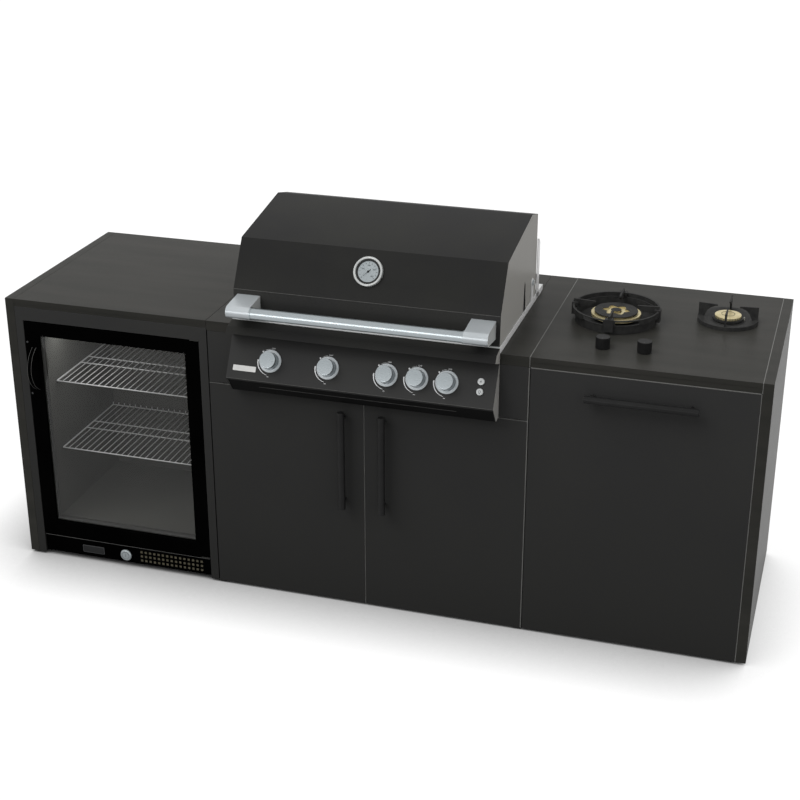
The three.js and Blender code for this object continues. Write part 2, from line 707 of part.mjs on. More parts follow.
function fridgeLock() {
  const { radius, bore, proud, dome, shaft } = strip.lock;
  const profile = [
    [0, -shaft],
    [bore, -shaft],
    [bore, seat],
    [radius, seat],
    [radius, proud - dome],
    [radius - dome, proud],
    [0, proud],
  ];
  const facingFront = turnedShape(profile, sides.lock).rotateX(Math.PI / 2);
  add("fridge_lock", solidFrom(facingFront.translate(lockAt[0], strip.front, lockAt[1])), "stainless");
}

fridgeLock();

// Grill flange: the stainless frame in the worktop cut-out, with the hood's two hinge ears
const hinge = {
  fromBack: 59, rise: 75, earRadius: 14, bolt: 4, play: 0.3, head: 9, headThick: 5, nut: 7, nutThick: 8,
};
const hingeY = grill.depth - hinge.fromBack;
const rimZ = island.height + grill.rim;
const hingeZ = island.height + hinge.rise;
const shelfLip = { width: 29, thick: 2.4 };
const grillFloor = underSlab + seat;
const rearBurner = {
  inset: 14, gap: 2, thickness: 36, rise: 187, wall: 3,
  windowInset: 44, windowLow: 30, windowHigh: 170, recess: 22,
};
const rearBurnerY = [grill.depth + rearBurner.gap, grill.depth + rearBurner.gap + rearBurner.thickness];
const deckFront = rearBurnerY[1] + sheet;

/** The bore for the two hinge bolts, right across a span. */
function hingeBore(span) {
  const [from, to] = past(span);
  return rod([from, hingeY, hingeZ], [to, hingeY, hingeZ], hinge.bolt + hinge.play, sides.pin);
}

function grillFlange() {
  const outer = grillSpan(grill.half);
  const clear = inner(outer, grill.wall);
  const wallY = [grill.front, grillBack];
  const ledge = [clear[0] + shelfLip.width - grill.wall, clear[1] - shelfLip.width + grill.wall];
  const frame = cut(
    box(outer, wallY, [grillFloor, rimZ]),
    box(clear, inner(wallY, grill.wall), [grillFloor + shelfLip.thick, rimZ + overrun]),
    box(ledge, [cabinet.front - seat, grillBack - shelfLip.width], past([grillFloor, rimZ])),
  );
  const lipZ = [rimZ - sheet, rimZ];
  const frontLip = box(inner(outer, grill.wall / 2), [grill.front, grill.front + grill.lip], lipZ);
  const rearDeck = box(inner(outer, grill.wall / 2), [deckFront, grillBack], lipZ);
  const ears = both((side) => {
    const span = ordered(grillX + side * grill.half, grillX + side * (grill.half - grill.wall));
    const outline = [
      [hingeY - hinge.earRadius, island.height],
      [hingeY + hinge.earRadius, island.height],
      ...arc([hingeY, hingeZ], hinge.earRadius, [0, 180, sides.arcSteps]),
    ];
    return prism(outline, span);
  });
  add("grill_flange", cut(joined(frame, frontLip, rearDeck, ears), hingeBore(outer)), "stainless");
}

grillFlange();

/** A frame whose Z axis stands square on a face, and whose Y axis climbs the face. */
function faceFrame(origin, slopeUp) {
  const frame = new THREE.Group();
  frame.position.copy(origin);
  frame.rotation.x = Math.atan2(slopeUp.z, slopeUp.y);
  frame.updateMatrix();
  return frame;
}

// Places of the grill's controls: the panel's sloping face, its knobs, buttons and valves
const tray = {
  sideClear: 2, front: -15, rearGap: 38, height: 29.5, clear: 1.5, headroom: 11,
  channelGap: 4, channelFoot: 16,
};
const trayBottom = doorZ[1] + tray.clear;
const panel = {
  topY: -4, noseY: -69, noseDrop: 148, bottomY: -29, lipShare: 0.14,
  seatRing: 34, seatInner: 27, seatHeight: 4, stemHole: 6, sides: 20, boreSides: 10,
};
const button = {
  offsetShare: 0.89, down: [55.5, 85.5], radius: 10.5, play: 0.3, height: 5,
  shaft: 14, collar: 12.5, chamfer: 1, sides: 16,
};
const buttonX = button.offsetShare * grill.half;
const panelTop = underSlab - seat;
const panelNose = [panel.noseY, island.height - panel.noseDrop];
const faceUp = new THREE.Vector3(0, panel.topY - panelNose[0], panelTop - panelNose[1]).normalize();
const panelFrame = faceFrame(new THREE.Vector3(grillX, panel.topY, panelTop), faceUp);

const knobs = {
  offsetShares: [-0.676, -0.237, 0.203, 0.428, 0.647], mainBurners: [0, 1, 2, 4], down: 68.8,
  radius: 25, skirt: 26, height: 32, chamfer: 1.5, sides: 20,
};
const knobX = knobs.offsetShares.map((share) => share * grill.half);
const valve = {
  radius: 11, depth: 40, stem: 4, stemReach: 16, pipe: 9, overhang: 30, stemPlay: 0.3, sides: 10,
};
const pipeAt = new THREE.Vector3(0, -knobs.down, -sheet - valve.depth).applyMatrix4(panelFrame.matrix);

/** A profile turned about a line that stands square on the panel's face, in the island's frame. */
function onPanel(profile, count, [x, y]) {
  return solidFrom(turnedShape(profile, count).translate(x, y, 0).applyMatrix4(panelFrame.matrix));
}

/** The outline of a plain disc or bore between two heights. */
const disc = (radius, low, high) => [[0, low], [radius, low], [radius, high], [0, high]];

// Firebox: a sheet tub hung on the flange's lower lip, with a front bulkhead and drip tray channels
const firebox = {
  inset: 34, rise: 5, rimWidth: 20, ledge: 10, ledgeDrop: 21.6, ledgeThick: 6,
  drainHalf: 150, drainShares: [0.375, 0.69],
};
const fireboxHalf = grill.half - firebox.inset;
const fireboxY = [cabinet.front, grill.depth];
const fireboxZ = [trayBottom + tray.height + tray.headroom, island.height + firebox.rise];
const ledgeTop = island.height - firebox.ledgeDrop;
const trayHalf = fireboxHalf - tray.sideClear;
const burner = {
  radius: 13, bore: 11, play: 0.3, front: 10, rearGap: 8, end: 5,
  linkDepth: 12, linkHeight: 8, sides: 12,
};
const burnerY = [burner.front, grill.depth - burner.rearGap];

/** A round bar along the line of one burner tube. */
function burnerTube(i, [from, to], radius) {
  const x = grillX + knobX[i];
  return rod([x, from, pipeAt.z], [x, to, pipeAt.z], radius, burner.sides);
}

function fireboxTub() {
  const [low, high] = fireboxZ;
  const drainY = firebox.drainShares.map((share) => share * grill.depth);
  const tub = cut(
    box(grillSpan(fireboxHalf), fireboxY, fireboxZ),
    box(grillSpan(fireboxHalf - sheet), inner(fireboxY, sheet), [low + sheet, high + overrun]),
    box(grillSpan(firebox.drainHalf), drainY, past(fireboxZ)),
  );
  const rimBottom = grillFloor + shelfLip.thick + seat;
  const rimEdge = [rimBottom, rimBottom + sheet];
  const sideways = (side, from, to) => ordered(grillX + side * from, grillX + side * to);
  const rims = both((side) =>
    box(sideways(side, fireboxHalf - sheet, fireboxHalf + firebox.rimWidth), fireboxY, rimEdge),
  );
  const bulkheadZ = [low, underSlab - sheet - seat];
  const bulkhead = box(grillSpan(grill.half - sheet), [cabinet.front, cabinet.front + sheet], bulkheadZ);
  const ledgeZ = [ledgeTop - firebox.ledgeThick, ledgeTop];
  const ledgeDepth = sheet + firebox.ledge;
  const inside = grillSpan(fireboxHalf - sheet / 2);
  const ledges = [
    box(inside, [fireboxY[0], fireboxY[0] + ledgeDepth], ledgeZ),
    box(inside, [fireboxY[1] - ledgeDepth, fireboxY[1]], ledgeZ),
  ];
  const channels = both((side) => {
    const web = trayHalf + tray.channelGap;
    const footTop = trayBottom - seat;
    const channelY = [cabinet.front + sheet, grill.depth - tray.rearGap];
    const flat = (from, to, z) => box(sideways(side, from, to), channelY, z);
    return joined(
      flat(web, web + sheet, [footTop - sheet, low + sheet]),
      flat(trayHalf - tray.channelFoot, web + sheet, [footTop - sheet, footTop]),
      flat(fireboxHalf - sheet, web + sheet, [low, low + sheet]),
    );
  });
  const tubeHoles = knobs.mainBurners.map((i) => {
    const [from, to] = past([cabinet.front, cabinet.front + sheet]);
    return burnerTube(i, [from, to], burner.radius + burner.play);
  });
  add("grill_firebox", cut(joined(tub, rims, bulkhead, ledges, channels), tubeHoles), "stainless");
}

fireboxTub();

function burnerSet() {
  const boreY = [burnerY[0] - overrun, burnerY[1] - burner.end];
  const tubes = knobs.mainBurners.map((i) => burnerTube(i, burnerY, burner.radius));
  const bores = knobs.mainBurners.map((i) => burnerTube(i, boreY, burner.bore));
  const linkX = atGrill([knobX[0], knobX.at(-1)]);
  const linkY = [burnerY[1] - burner.linkDepth, burnerY[1]];
  const link = box(linkX, linkY, [pipeAt.z - burner.linkHeight, pipeAt.z + burner.linkHeight]);
  add("burner_set", cut(joined(tubes, link), bores), "stainless");
}

burnerSet();

// Cooking grates, resting on the firebox ledges
const grate = { clear: 3, middleGap: 2, bars: 15, crossBars: 3, bar: 8, thick: 12 };

function cookingGrate(name, side) {
  const near = grillX + side * (grate.middleGap / 2);
  const far = grillX + side * (fireboxHalf - sheet - grate.clear);
  const run = inner(fireboxY, sheet + grate.clear);
  const low = ledgeTop + seat;
  const upright = [low, low + grate.thick];
  const bars = grid(ordered(near, far), run, upright, [grate.bars, grate.bar], [grate.crossBars, grate.bar]);
  add(name, bars, "castIron");
}

cookingGrate("cooking_grate_left", -1);
cookingGrate("cooking_grate_right", 1);

// Warming rack on four legs that stand on the firebox walls
const rack = { depth: 130, fromBack: 13, rise: 102, bar: 4, bars: 9, crossBars: 6, legInset: 20 };

function warmingRack() {
  const span = grillSpan(fireboxHalf + (rack.bar - sheet) / 2);
  const run = [grill.depth - rack.fromBack - rack.depth, grill.depth - rack.fromBack];
  const upright = [island.height + rack.rise, island.height + rack.rise + rack.bar];
  const bars = grid(span, run, upright, [rack.crossBars, rack.bar], [rack.bars, rack.bar]);
  const legs = [span[0], span[1] - rack.bar].flatMap((x) =>
    inner(run, rack.legInset).map((y) =>
      box([x, x + rack.bar], [y - rack.bar, y + rack.bar], [fireboxZ[1] + seat, upright[1]]),
    ),
  );
  add("warming_rack", joined(bars, legs), "stainless");
}

warmingRack();

// Rear burner housing behind the cooking space
function rearBurnerHousing() {
  const bottom = grillFloor + shelfLip.thick + seat;
  const top = island.height + rearBurner.rise;
  const recessEnd = rearBurnerY[0] + rearBurner.recess;
  const half = grill.half - rearBurner.inset;
  const housing = cut(
    box(grillSpan(half), rearBurnerY, [bottom, top]),
    box(
      grillSpan(grill.half - rearBurner.windowInset),
      [rearBurnerY[0] - overrun, recessEnd],
      [island.height + rearBurner.windowLow, island.height + rearBurner.windowHigh],
    ),
    box(
      grillSpan(half - rearBurner.wall),
      [recessEnd + rearBurner.wall, rearBurnerY[1] - rearBurner.wall],
      [bottom - overrun, top - rearBurner.wall],
    ),
  );
  add("rear_burner", housing, "stainless");
}

rearBurnerHousing();

// Hood: a folded roof between two cheeks, hinged on bolts through the flange's ears.
// Each point of its outline is its rise over the worktop and its distance from the grill's front or back.
const hood = {
  inset: 3, footY: 8, foot: 17.3, breastY: 12, breast: 108, browY: 91, brow: 245.5,
  ridgeFromBack: 81, ridge: 298, backGap: 1, back: 278,
  notchShare: 0.67, notchFootHalf: 15, notchHalf: 6, notchTop: 111, notchPoint: 12,
};
const hoodHalf = grill.half - hood.inset;
const [hoodFoot, hoodBreast, hoodBrow, hoodRidge, hoodBack] = [
  [hood.footY, hood.foot],
  [hood.breastY, hood.breast],
  [hood.browY, hood.brow],
  [grill.depth - hood.ridgeFromBack, hood.ridge],
  [grill.depth - hood.backGap, hood.back],
].map(([y, rise]) => [y, island.height + rise]);
const dial = {
  along: 91, radius: 45, rim: 10, stem: 5, play: 0.3, stemLength: 30, sides: 28, lip: 3, face: 37, sink: 3,
};
const creaseLow = new THREE.Vector3(grillX, ...hoodBreast);
const creaseHigh = new THREE.Vector3(grillX, ...hoodBrow);
const slope = creaseHigh.clone().sub(creaseLow).normalize();
const dialAt = creaseLow.clone().addScaledVector(slope, dial.along);

const dialFrame = faceFrame(dialAt, slope);

function hoodShell() {
  const across = grillSpan(hoodHalf);
  const outline = [hoodFoot, hoodBreast, hoodBrow, hoodRidge, hoodBack];
  const roof = folded(outline, -sheet, across);
  const cheek = [...outline, [hoodBack[0], hoodFoot[1]]];
  const notchY = hood.notchShare * grill.depth;
  const notchTop = island.height + hood.notchTop;
  const cheeks = both((side) =>
    prism(cheek, ordered(grillX + side * hoodHalf, grillX + side * (hoodHalf - sheet))),
  );
  const notch = prism(
    [
      [notchY - hood.notchFootHalf, rimZ - overrun],
      [notchY + hood.notchFootHalf, rimZ - overrun],
      [notchY + hood.notchHalf, notchTop - hood.notchPoint],
      [notchY, notchTop],
      [notchY - hood.notchHalf, notchTop - hood.notchPoint],
    ],
    past(across),
  );
  const up = new THREE.Vector3(0, 0, 1).transformDirection(dialFrame.matrix);
  const dialBore = rod(
    dialAt.clone().addScaledVector(up, -overrun).toArray(),
    dialAt.clone().addScaledVector(up, overrun).toArray(),
    dial.stem + dial.play,
  );
  add("hood", cut(joined(roof, cheeks), notch, hingeBore(across), dialBore), "blackSteel");
}

hoodShell();

for (const [side, label] of [[-1, "left"], [1, "right"]]) {
  const at = (half) => [grillX + side * half, hingeY, hingeZ];
  const headBase = grill.half + seat;
  const nutBase = hoodHalf - sheet - seat;
  const bolt = joined(
    rod(at(headBase), at(headBase + hinge.headThick), hinge.head),
    rod(at(headBase + hinge.headThick / 2), at(nutBase - hinge.nutThick), hinge.bolt, sides.pin),
    rod(at(nutBase), at(nutBase - hinge.nutThick), hinge.nut, sides.nut),
  );
  add(`hood_hinge_bolt_${label}`, bolt, "stainless");
}

// Thermometer on the hood's sloping face
function thermometer() {
  const { radius, rim, stem, stemLength, lip, face, sink } = dial;
  const profile = [
    [0, -stemLength],
    [stem, -stemLength],
    [stem, seat],
    [radius, seat],
    [radius, rim - lip],
    [radius - lip, rim],
    [face + lip, rim],
    [face, rim - sink],
    [0, rim - sink],
  ];
  add("hood_thermometer", solidFrom(turnedShape(profile, dial.sides)), "dial", dialFrame);
  group.add(dialFrame);
}

thermometer();

// Hood handle: a round tube let into two brackets
const hoodHandle = {
  reach: 70, height: 67, bar: 17, play: 0.3, nose: 19, inset: 13, bracket: 73,
  top: 94, bottom: 39, socket: 12, sides: 20,
};
const bracketOuter = hoodHalf - hoodHandle.inset;
const bracketInner = bracketOuter - hoodHandle.bracket;
const barAt = [-hoodHandle.reach, island.height + hoodHandle.height];

/** How far back the hood's upright front stands at a height, with the seat gap taken off. */
function hoodFrontAt(z) {
  const share = (z - hoodFoot[1]) / (hoodBreast[1] - hoodFoot[1]);
  return hoodFoot[0] + (hoodBreast[0] - hoodFoot[0]) * share - seat;
}

for (const [side, label] of [[-1, "left"], [1, "right"]]) {
  const span = ordered(grillX + side * bracketInner, grillX + side * bracketOuter);
  const topZ = island.height + hoodHandle.top;
  const bottomZ = island.height + hoodHandle.bottom;
  const outline = [
    [hoodFrontAt(bottomZ), bottomZ],
    [hoodFrontAt(topZ), topZ],
    ...arc(barAt, hoodHandle.nose, [90, 270, sides.arcSteps]),
  ];
  const socket = rod(
    [grillX + side * (bracketInner - overrun), ...barAt],
    [grillX + side * (bracketInner + hoodHandle.socket + seat), ...barAt],
    hoodHandle.bar + hoodHandle.play,
    hoodHandle.sides,
  );
  add(`hood_handle_bracket_${label}`, cut(prism(outline, span), socket), "stainless");
}

const barHalf = bracketInner + hoodHandle.socket;
const tube = (radius, half) =>
  rod([grillX - half, ...barAt], [grillX + half, ...barAt], radius, hoodHandle.sides);
const hollowTube = cut(tube(hoodHandle.bar, barHalf), tube(hoodHandle.bar - sheet, barHalf + overrun));
add("hood_handle_bar", hollowTube, "stainless");

// Bezel: the black visor along the front of the flange
const bezel = {
  back: [-0.5, 15.5], noseTop: [-40, 7.5], nose: [-54, -11], bottom: [-4, -30.7], cheekBack: 0,
};

function grillBezel() {
  const { back, noseTop, nose, bottom, cheekBack } = bezel;
  const points = [back, noseTop, nose, bottom].map(([y, rise]) => [y, island.height + rise]);
  const cheek = [...points, [cheekBack, points.at(-1)[1]], [cheekBack, points[0][1]]];
  const cheeks = both((side) =>
    prism(cheek, ordered(grillX + side * grill.half, grillX + side * (grill.half - sheet))),
  );
  add("grill_bezel", joined(folded(points, sheet, grillSpan(grill.half)), cheeks), "blackSteel");
}

grillBezel();

// Control panel: a folded sloping face between cheeks, with a raised seat under each knob
function controlPanel() {
  const back = cabinet.front - seat;
  const heel = [panel.bottomY, trayBottom];
  const face = [[back, panelTop], [panel.topY, panelTop], panelNose];
  const lipEnd = new THREE.Vector2(...panelNose).lerp(new THREE.Vector2(...heel), panel.lipShare);
  const cheek = [...face, heel, [back, trayBottom]];
  const cheeks = both((side) =>
    prism(cheek, ordered(grillX + side * grill.half, grillX + side * (grill.half - sheet))),
  );
  const ring = [
    [panel.seatInner, -sheet / 2],
    [panel.seatRing, -sheet / 2],
    [panel.seatRing, panel.seatHeight],
    [panel.seatInner, panel.seatHeight],
  ];
  const rings = knobX.map((x) => onPanel(ring, panel.sides, [x, -knobs.down]));
  const stemHoles = knobX.map((x) =>
    onPanel(disc(panel.stemHole, -overrun, overrun), panel.boreSides, [x, -knobs.down]),
  );
  const buttonHoles = button.down.map((down) =>
    onPanel(disc(button.radius + button.play, -overrun, overrun), button.sides, [buttonX, -down]),
  );
  const shell = joined(folded([...face, lipEnd.toArray()], sheet, grillSpan(grill.half)), cheeks, rings);
  add("control_panel", cut(shell, stemHoles, buttonHoles), "blackSteel");
}

controlPanel();

// Gas manifold: a pipe with five valves whose stems reach through the panel into the knobs
function gasManifold() {
  const pipeZ = -sheet - valve.depth;
  const ends = [knobX[0] - valve.overhang, knobX.at(-1) + valve.overhang];
  const at = (x, z) => [x, -knobs.down, z];
  const pipe = rod(at(ends[0], pipeZ), at(ends[1], pipeZ), valve.pipe, valve.sides);
  const valves = knobX.map((x) =>
    joined(
      rod(at(x, pipeZ), at(x, -sheet - seat), valve.radius, valve.sides),
      rod(at(x, pipeZ), at(x, valve.stemReach), valve.stem, valve.sides),
    ),
  );
  add("gas_manifold", joined(pipe, valves), "brass", panelFrame);
}

gasManifold();

knobX.forEach((x, i) => {
  const { skirt, radius, height, chamfer } = knobs;
  const boreTop = valve.stemReach + seat;
  const profile = [
    [valve.stem + valve.stemPlay, seat],
    [skirt, seat],
    [skirt, panel.seatHeight],
    [radius, height - chamfer],
    [radius - chamfer, height],
    [0, height],
    [0, boreTop],
    [valve.stem + valve.stemPlay, boreTop],
  ];
  add(`grill_knob_${i + 1}`, turned(profile, knobs.sides, [x, -knobs.down, 0]), "stainless", panelFrame);
});

button.down.forEach((down, i) => {
  const profile = [
    [0, -button.shaft],
    [button.collar, -button.shaft],
    [button.collar, -sheet - seat],
    [button.radius, -sheet - seat],
    [button.radius, button.height - button.chamfer],
    [button.radius - button.chamfer, button.height],
    [0, button.height],
  ];
  const name = ["igniter_button", "light_button"][i];
  add(name, turned(profile, button.sides, [buttonX, -down, 0]), "stainless", panelFrame);
});
group.add(panelFrame);

// Drip tray: its front closes the underside of the control panel
function dripTray() {
  const nose = new THREE.Vector2(...panelNose);
  const heel = new THREE.Vector2(panel.bottomY, trayBottom);
  const along = heel.clone().sub(nose).normalize();
  const start = nose.clone().lerp(heel, panel.lipShare).addScaledVector(along, seat);
  const fasciaX = inner(grillSpan(grill.half - sheet), seat);
  const fascia = folded([start.toArray(), heel.toArray(), [tray.front + sheet, trayBottom]], sheet, fasciaX);
  const panX = grillSpan(trayHalf);
  const panY = [tray.front, grill.depth - tray.rearGap];
  const panZ = [trayBottom, trayBottom + tray.height];
  const hollow = box(inner(panX, sheet), inner(panY, sheet), [panZ[0] + sheet, panZ[1] + overrun]);
  const catcher = cut(box(panX, panY, panZ), hollow);
  add("drip_tray", joined(fascia, catcher), "blackSteel");
}

dripTray();

// Wok burner: a spill bowl, a ring pan support with four fins, a brass body and its cap
const wok = {
  bowl: 123, bowlWall: 4, bowlHeight: 33.7, floor: 5, hubHole: 36,
  ringOuter: 132, ringInner: 126, ringTop: 45, ringDepth: 17,
  slotFrom: 18, slotTo: 85, slotDepth: 70, slotLow: 27, slotHigh: 42,
  legHalf: 13, legIn: 116, legOut: 134, legTop: 48, legDrop: 10, hook: 124,
  finHalf: 3, finOuter: 130, finInner: 64, finTop: 57, finTip: 8, finFoot: 34, finRoot: 116,
  finSweep: [75, 15, 2],
  throat: 33, throatBore: 29, throatDepth: 60, boreTop: 8, shoulder: 46,
  brassRing: 75, brassLow: 16, brassHigh: 25.5,
  well: 34, wellDepth: 8, centre: 13, centreTop: 33,
  cap: 68, capThick: 7, capChamfer: 2.5, starTips: 4, starOuter: 36, starInner: 21, sides: 32,
};
const wokAt = [...onGasBay(hob.wokShares), island.height];

/** Four copies of a solid at quarter turns round a point of the worktop. */
function quarters(solid, [x, y, z]) {
  return [0, 1, 2, 3].map((turn) => {
    const geometry = geometryOf(solid).rotateZ((turn * Math.PI) / 2);
    return solidFrom(geometry.translate(x, y, z));
  });
}

/** The two air slots at the front of the wok's bowl and ring. */
function wokSlots() {
  const [x, y, z] = wokAt;
  const run = [y - wok.ringOuter - overrun, y - wok.slotDepth];
  const upright = [z + wok.slotLow, z + wok.slotHigh];
  return both((side) => box(ordered(x + side * wok.slotFrom, x + side * wok.slotTo), run, upright));
}

/** The four upright fins of a pan support, their undersides swept up towards the flame. */
function fins({ finHalf, finOuter, finInner, finTop, finTip, finFoot, finRoot, finSweep }, at) {
  const outline = [
    [finOuter, finFoot],
    [finOuter, finTop],
    [finInner, finTop - finHalf],
    [finInner, finTop - finTip],
    ...arc([finInner, finFoot], finTop - finTip - finFoot, finSweep),
    [finRoot, finFoot],
  ];
  return quarters(prism(outline, [-finHalf, finHalf]), at);
}

function wokBowl() {
  const profile = [
    [wok.hubHole, seat],
    [wok.bowl, seat],
    [wok.bowl, wok.bowlHeight],
    [wok.bowl - wok.bowlWall, wok.bowlHeight],
    [wok.bowl - 2 * wok.bowlWall, wok.floor],
    [wok.hubHole, wok.floor],
  ];
  add("wok_bowl", cut(turned(profile, wok.sides, wokAt), wokSlots()), "castIron");
}

function wokSupport() {
  const ring = turned(
    [
      [wok.ringInner, wok.ringTop - wok.ringDepth],
      [wok.ringOuter, wok.ringTop - wok.ringDepth],
      [wok.ringOuter, wok.ringTop],
      [wok.ringInner, wok.ringTop],
    ],
    wok.sides,
    wokAt,
  );
  const legLow = wok.bowlHeight + seat;
  const legX = [-wok.legHalf, wok.legHalf];
  const leg = joined(
    box(legX, [wok.legIn, wok.legOut], [legLow, wok.legTop]),
    box(legX, [wok.hook, wok.legOut], [wok.legDrop, wok.legTop]),
  );
  const slottedRing = cut(ring, wokSlots());
  add("wok_pan_support", joined(slottedRing, quarters(leg, wokAt), fins(wok, wokAt)), "castIron");
}

function wokBurner() {
  const body = turned(
    [
      [0, wok.boreTop],
      [wok.throatBore, wok.boreTop],
      [wok.throatBore, -wok.throatDepth],
      [wok.throat, -wok.throatDepth],
      [wok.throat, wok.floor + seat],
      [wok.shoulder, wok.floor + seat],
      [wok.brassRing, wok.brassLow],
      [wok.brassRing, wok.brassHigh],
      [wok.well, wok.brassHigh],
      [wok.well, wok.brassHigh - wok.wellDepth],
      [wok.centre, wok.brassHigh - wok.wellDepth],
      [wok.centre, wok.centreTop],
      [0, wok.centreTop],
    ],
    wok.sides,
    wokAt,
  );
  add("wok_burner", body, "brass");
  const star = Array.from({ length: 2 * wok.starTips }, (_, i) => {
    const reach = i % 2 ? wok.starInner : wok.starOuter;
    const angle = (i * Math.PI) / wok.starTips;
    return [wokAt[0] + reach * Math.cos(angle), wokAt[1] + reach * Math.sin(angle)];
  });
  const low = wok.brassHigh + seat;
  const capDisc = turned(
    [
      [0, low],
      [wok.cap, low],
      [wok.cap, low + wok.capThick - wok.capChamfer],
      [wok.cap - wok.capChamfer, low + wok.capThick],
      [0, low + wok.capThick],
    ],
    wok.sides,
    wokAt,
  );
  const starZ = past([island.height + low, island.height + low + wok.capThick]);
  add("wok_burner_cap", cut(capDisc, plate(star, starZ)), "castIron");
}

wokBowl();
wokSupport();
wokBurner();

// Small burner: a round cast base with four fins, and a brass cap on its own throat
const small = {
  base: 91, rise: 12, dish: 5, inner: 30, step: 78, shoulder: 55, sides: 28,
  finHalf: 2.5, finOuter: 89, finInner: 33, finTop: 52, finTip: 7, finFoot: 9, finRoot: 72,
  finSweep: [80, 15, 3],
  throat: 26, throatBore: 22, throatDepth: 50, boreTop: 10, neck: 34, neckLow: 5.4,
  cap: 40, capLow: 14, capTop: 21, crown: 26, crownTop: 23, capSides: 24,
};
const smallAt = [...onGasBay(hob.smallShares), island.height];

function smallBurner() {
  const base = turned(
    [
      [small.inner, seat],
      [small.base, seat],
      [small.base, small.rise],
      [small.step, small.rise],
      [small.shoulder, small.dish],
      [small.inner, small.dish],
    ],
    small.sides,
    smallAt,
  );
  add("small_burner_base", joined(base, fins(small, smallAt)), "castIron");
  const burnerBody = turned(
    [
      [0, small.boreTop],
      [small.throatBore, small.boreTop],
      [small.throatBore, -small.throatDepth],
      [small.throat, -small.throatDepth],
      [small.throat, small.neckLow],
      [small.neck, small.neckLow],
      [small.neck, small.capLow],
      [small.cap, small.capLow],
      [small.cap, small.capTop],
      [small.crown, small.crownTop],
      [0, small.crownTop],
    ],
    small.capSides,
    smallAt,
  );
  add("small_burner_cap", burnerBody, "brass");
}

smallBurner();

// Worktop knobs of the two burners, each with its spindle through the worktop
const hobKnob = {
  flare: 21, body: 19.5, flareHeight: 4, height: 35, spindle: 5, spindleDepth: 40, chamfer: 2, sides: 20,
};

function worktopKnob(name, x) {
  const { flare, body, flareHeight, height, spindle, spindleDepth, chamfer } = hobKnob;
  const profile = [
    [0, -spindleDepth],
    [spindle, -spindleDepth],
    [spindle, seat],
    [flare, seat],
    [flare, flareHeight],
    [body, height - chamfer],
    [body - chamfer, height],
    [0, height],
  ];
  add(name, turned(profile, hobKnob.sides, [x, hob.knobY, island.height]), "blackPlastic");
}

worktopKnob("hob_knob_left", hobKnobX[0]);
worktopKnob("hob_knob_right", hobKnobX[1]);

// The origin is the middle of the footprint, from the nose of the hood handle to the worktop's back edge
const foremost = -hoodHandle.reach - hoodHandle.nose;
group.position.set(-(rightPanelX + island.endPanel) / 2, -middleOf([foremost, depthSpan[1]]), 0);
const root = new THREE.Group();
root.add(group);

export default root;
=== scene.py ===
"""Studio scene of the outdoor kitchen island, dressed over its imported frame.

Lengths are in metres. Places on the island are measured from its front left foot: x runs right
along the front, y runs back from the worktop's front edge, and z runs up from the floor.
"""

import logging
import math
from dataclasses import dataclass
from enum import Enum
from functools import cache
from typing import Iterable, Sequence, Union

import bmesh
import bpy
from mathutils import Matrix, Vector


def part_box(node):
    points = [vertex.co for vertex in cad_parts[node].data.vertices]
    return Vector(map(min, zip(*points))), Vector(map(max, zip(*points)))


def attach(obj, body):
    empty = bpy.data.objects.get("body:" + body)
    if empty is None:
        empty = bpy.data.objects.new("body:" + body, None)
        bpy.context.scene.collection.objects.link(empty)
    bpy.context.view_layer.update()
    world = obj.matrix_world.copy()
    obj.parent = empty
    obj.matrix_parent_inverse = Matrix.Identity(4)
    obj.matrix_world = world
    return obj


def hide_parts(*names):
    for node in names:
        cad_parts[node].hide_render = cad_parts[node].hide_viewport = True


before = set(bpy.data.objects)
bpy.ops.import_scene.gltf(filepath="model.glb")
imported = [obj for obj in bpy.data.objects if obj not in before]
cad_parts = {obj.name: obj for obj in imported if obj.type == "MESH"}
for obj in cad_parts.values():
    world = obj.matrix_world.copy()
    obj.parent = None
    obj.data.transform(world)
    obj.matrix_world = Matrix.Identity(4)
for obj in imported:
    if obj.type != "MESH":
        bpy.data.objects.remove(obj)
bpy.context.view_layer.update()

LOG = logging.getLogger("kitchen_island")

Mesh = bmesh.types.BMesh
Socket = bpy.types.NodeSocket
Inputs = dict[Union[str, int], object]
Point = tuple[float, float]
Place = tuple[float, float, float]
Span = tuple[float, float]
Outline = Sequence[Point]

ISLAND_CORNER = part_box("left_end_panel")[0]
RIGHT = Vector((1.0, 0.0, 0.0))
BACK = Vector((0.0, 1.0, 0.0))
UP = Vector((0.0, 0.0, 1.0))
TURN = math.tau

# How finely curves are drawn and edges are rounded
ROUND_STEPS = 96
WIRE_STEPS = 8
BEVEL_STEPS = 2
WELD = 0.00002
SMOOTH_ANGLE = math.radians(32)
FLAT_ANGLE = math.radians(0.6)

# How the finishes read their noises and edges
WHOLE = (0.0, 1.0)
CLOUD_SPAN = (0.35, 0.65)
CLOUD_DETAIL = 6.0
GRAIN_SPAN = (0.3, 0.7)
GRAIN_DETAIL = 3.0
SPOT_SPAN = (0.35, 0.6)
SPOT_WEAR_AND_HIGHLIGHT = (0.25, 1.0)
SPOT_DETAIL = 2.0
SPOT_GRAIN_SHARE = 0.25
SMEAR_DETAIL = 4.0
EDGE_MATCH = (0.995, 0.8)
EDGE_SAMPLES = 4

# Blender's socket numbers of the colour mix node
MIX_A = 6
MIX_B = 7
MIX_RESULT = 2


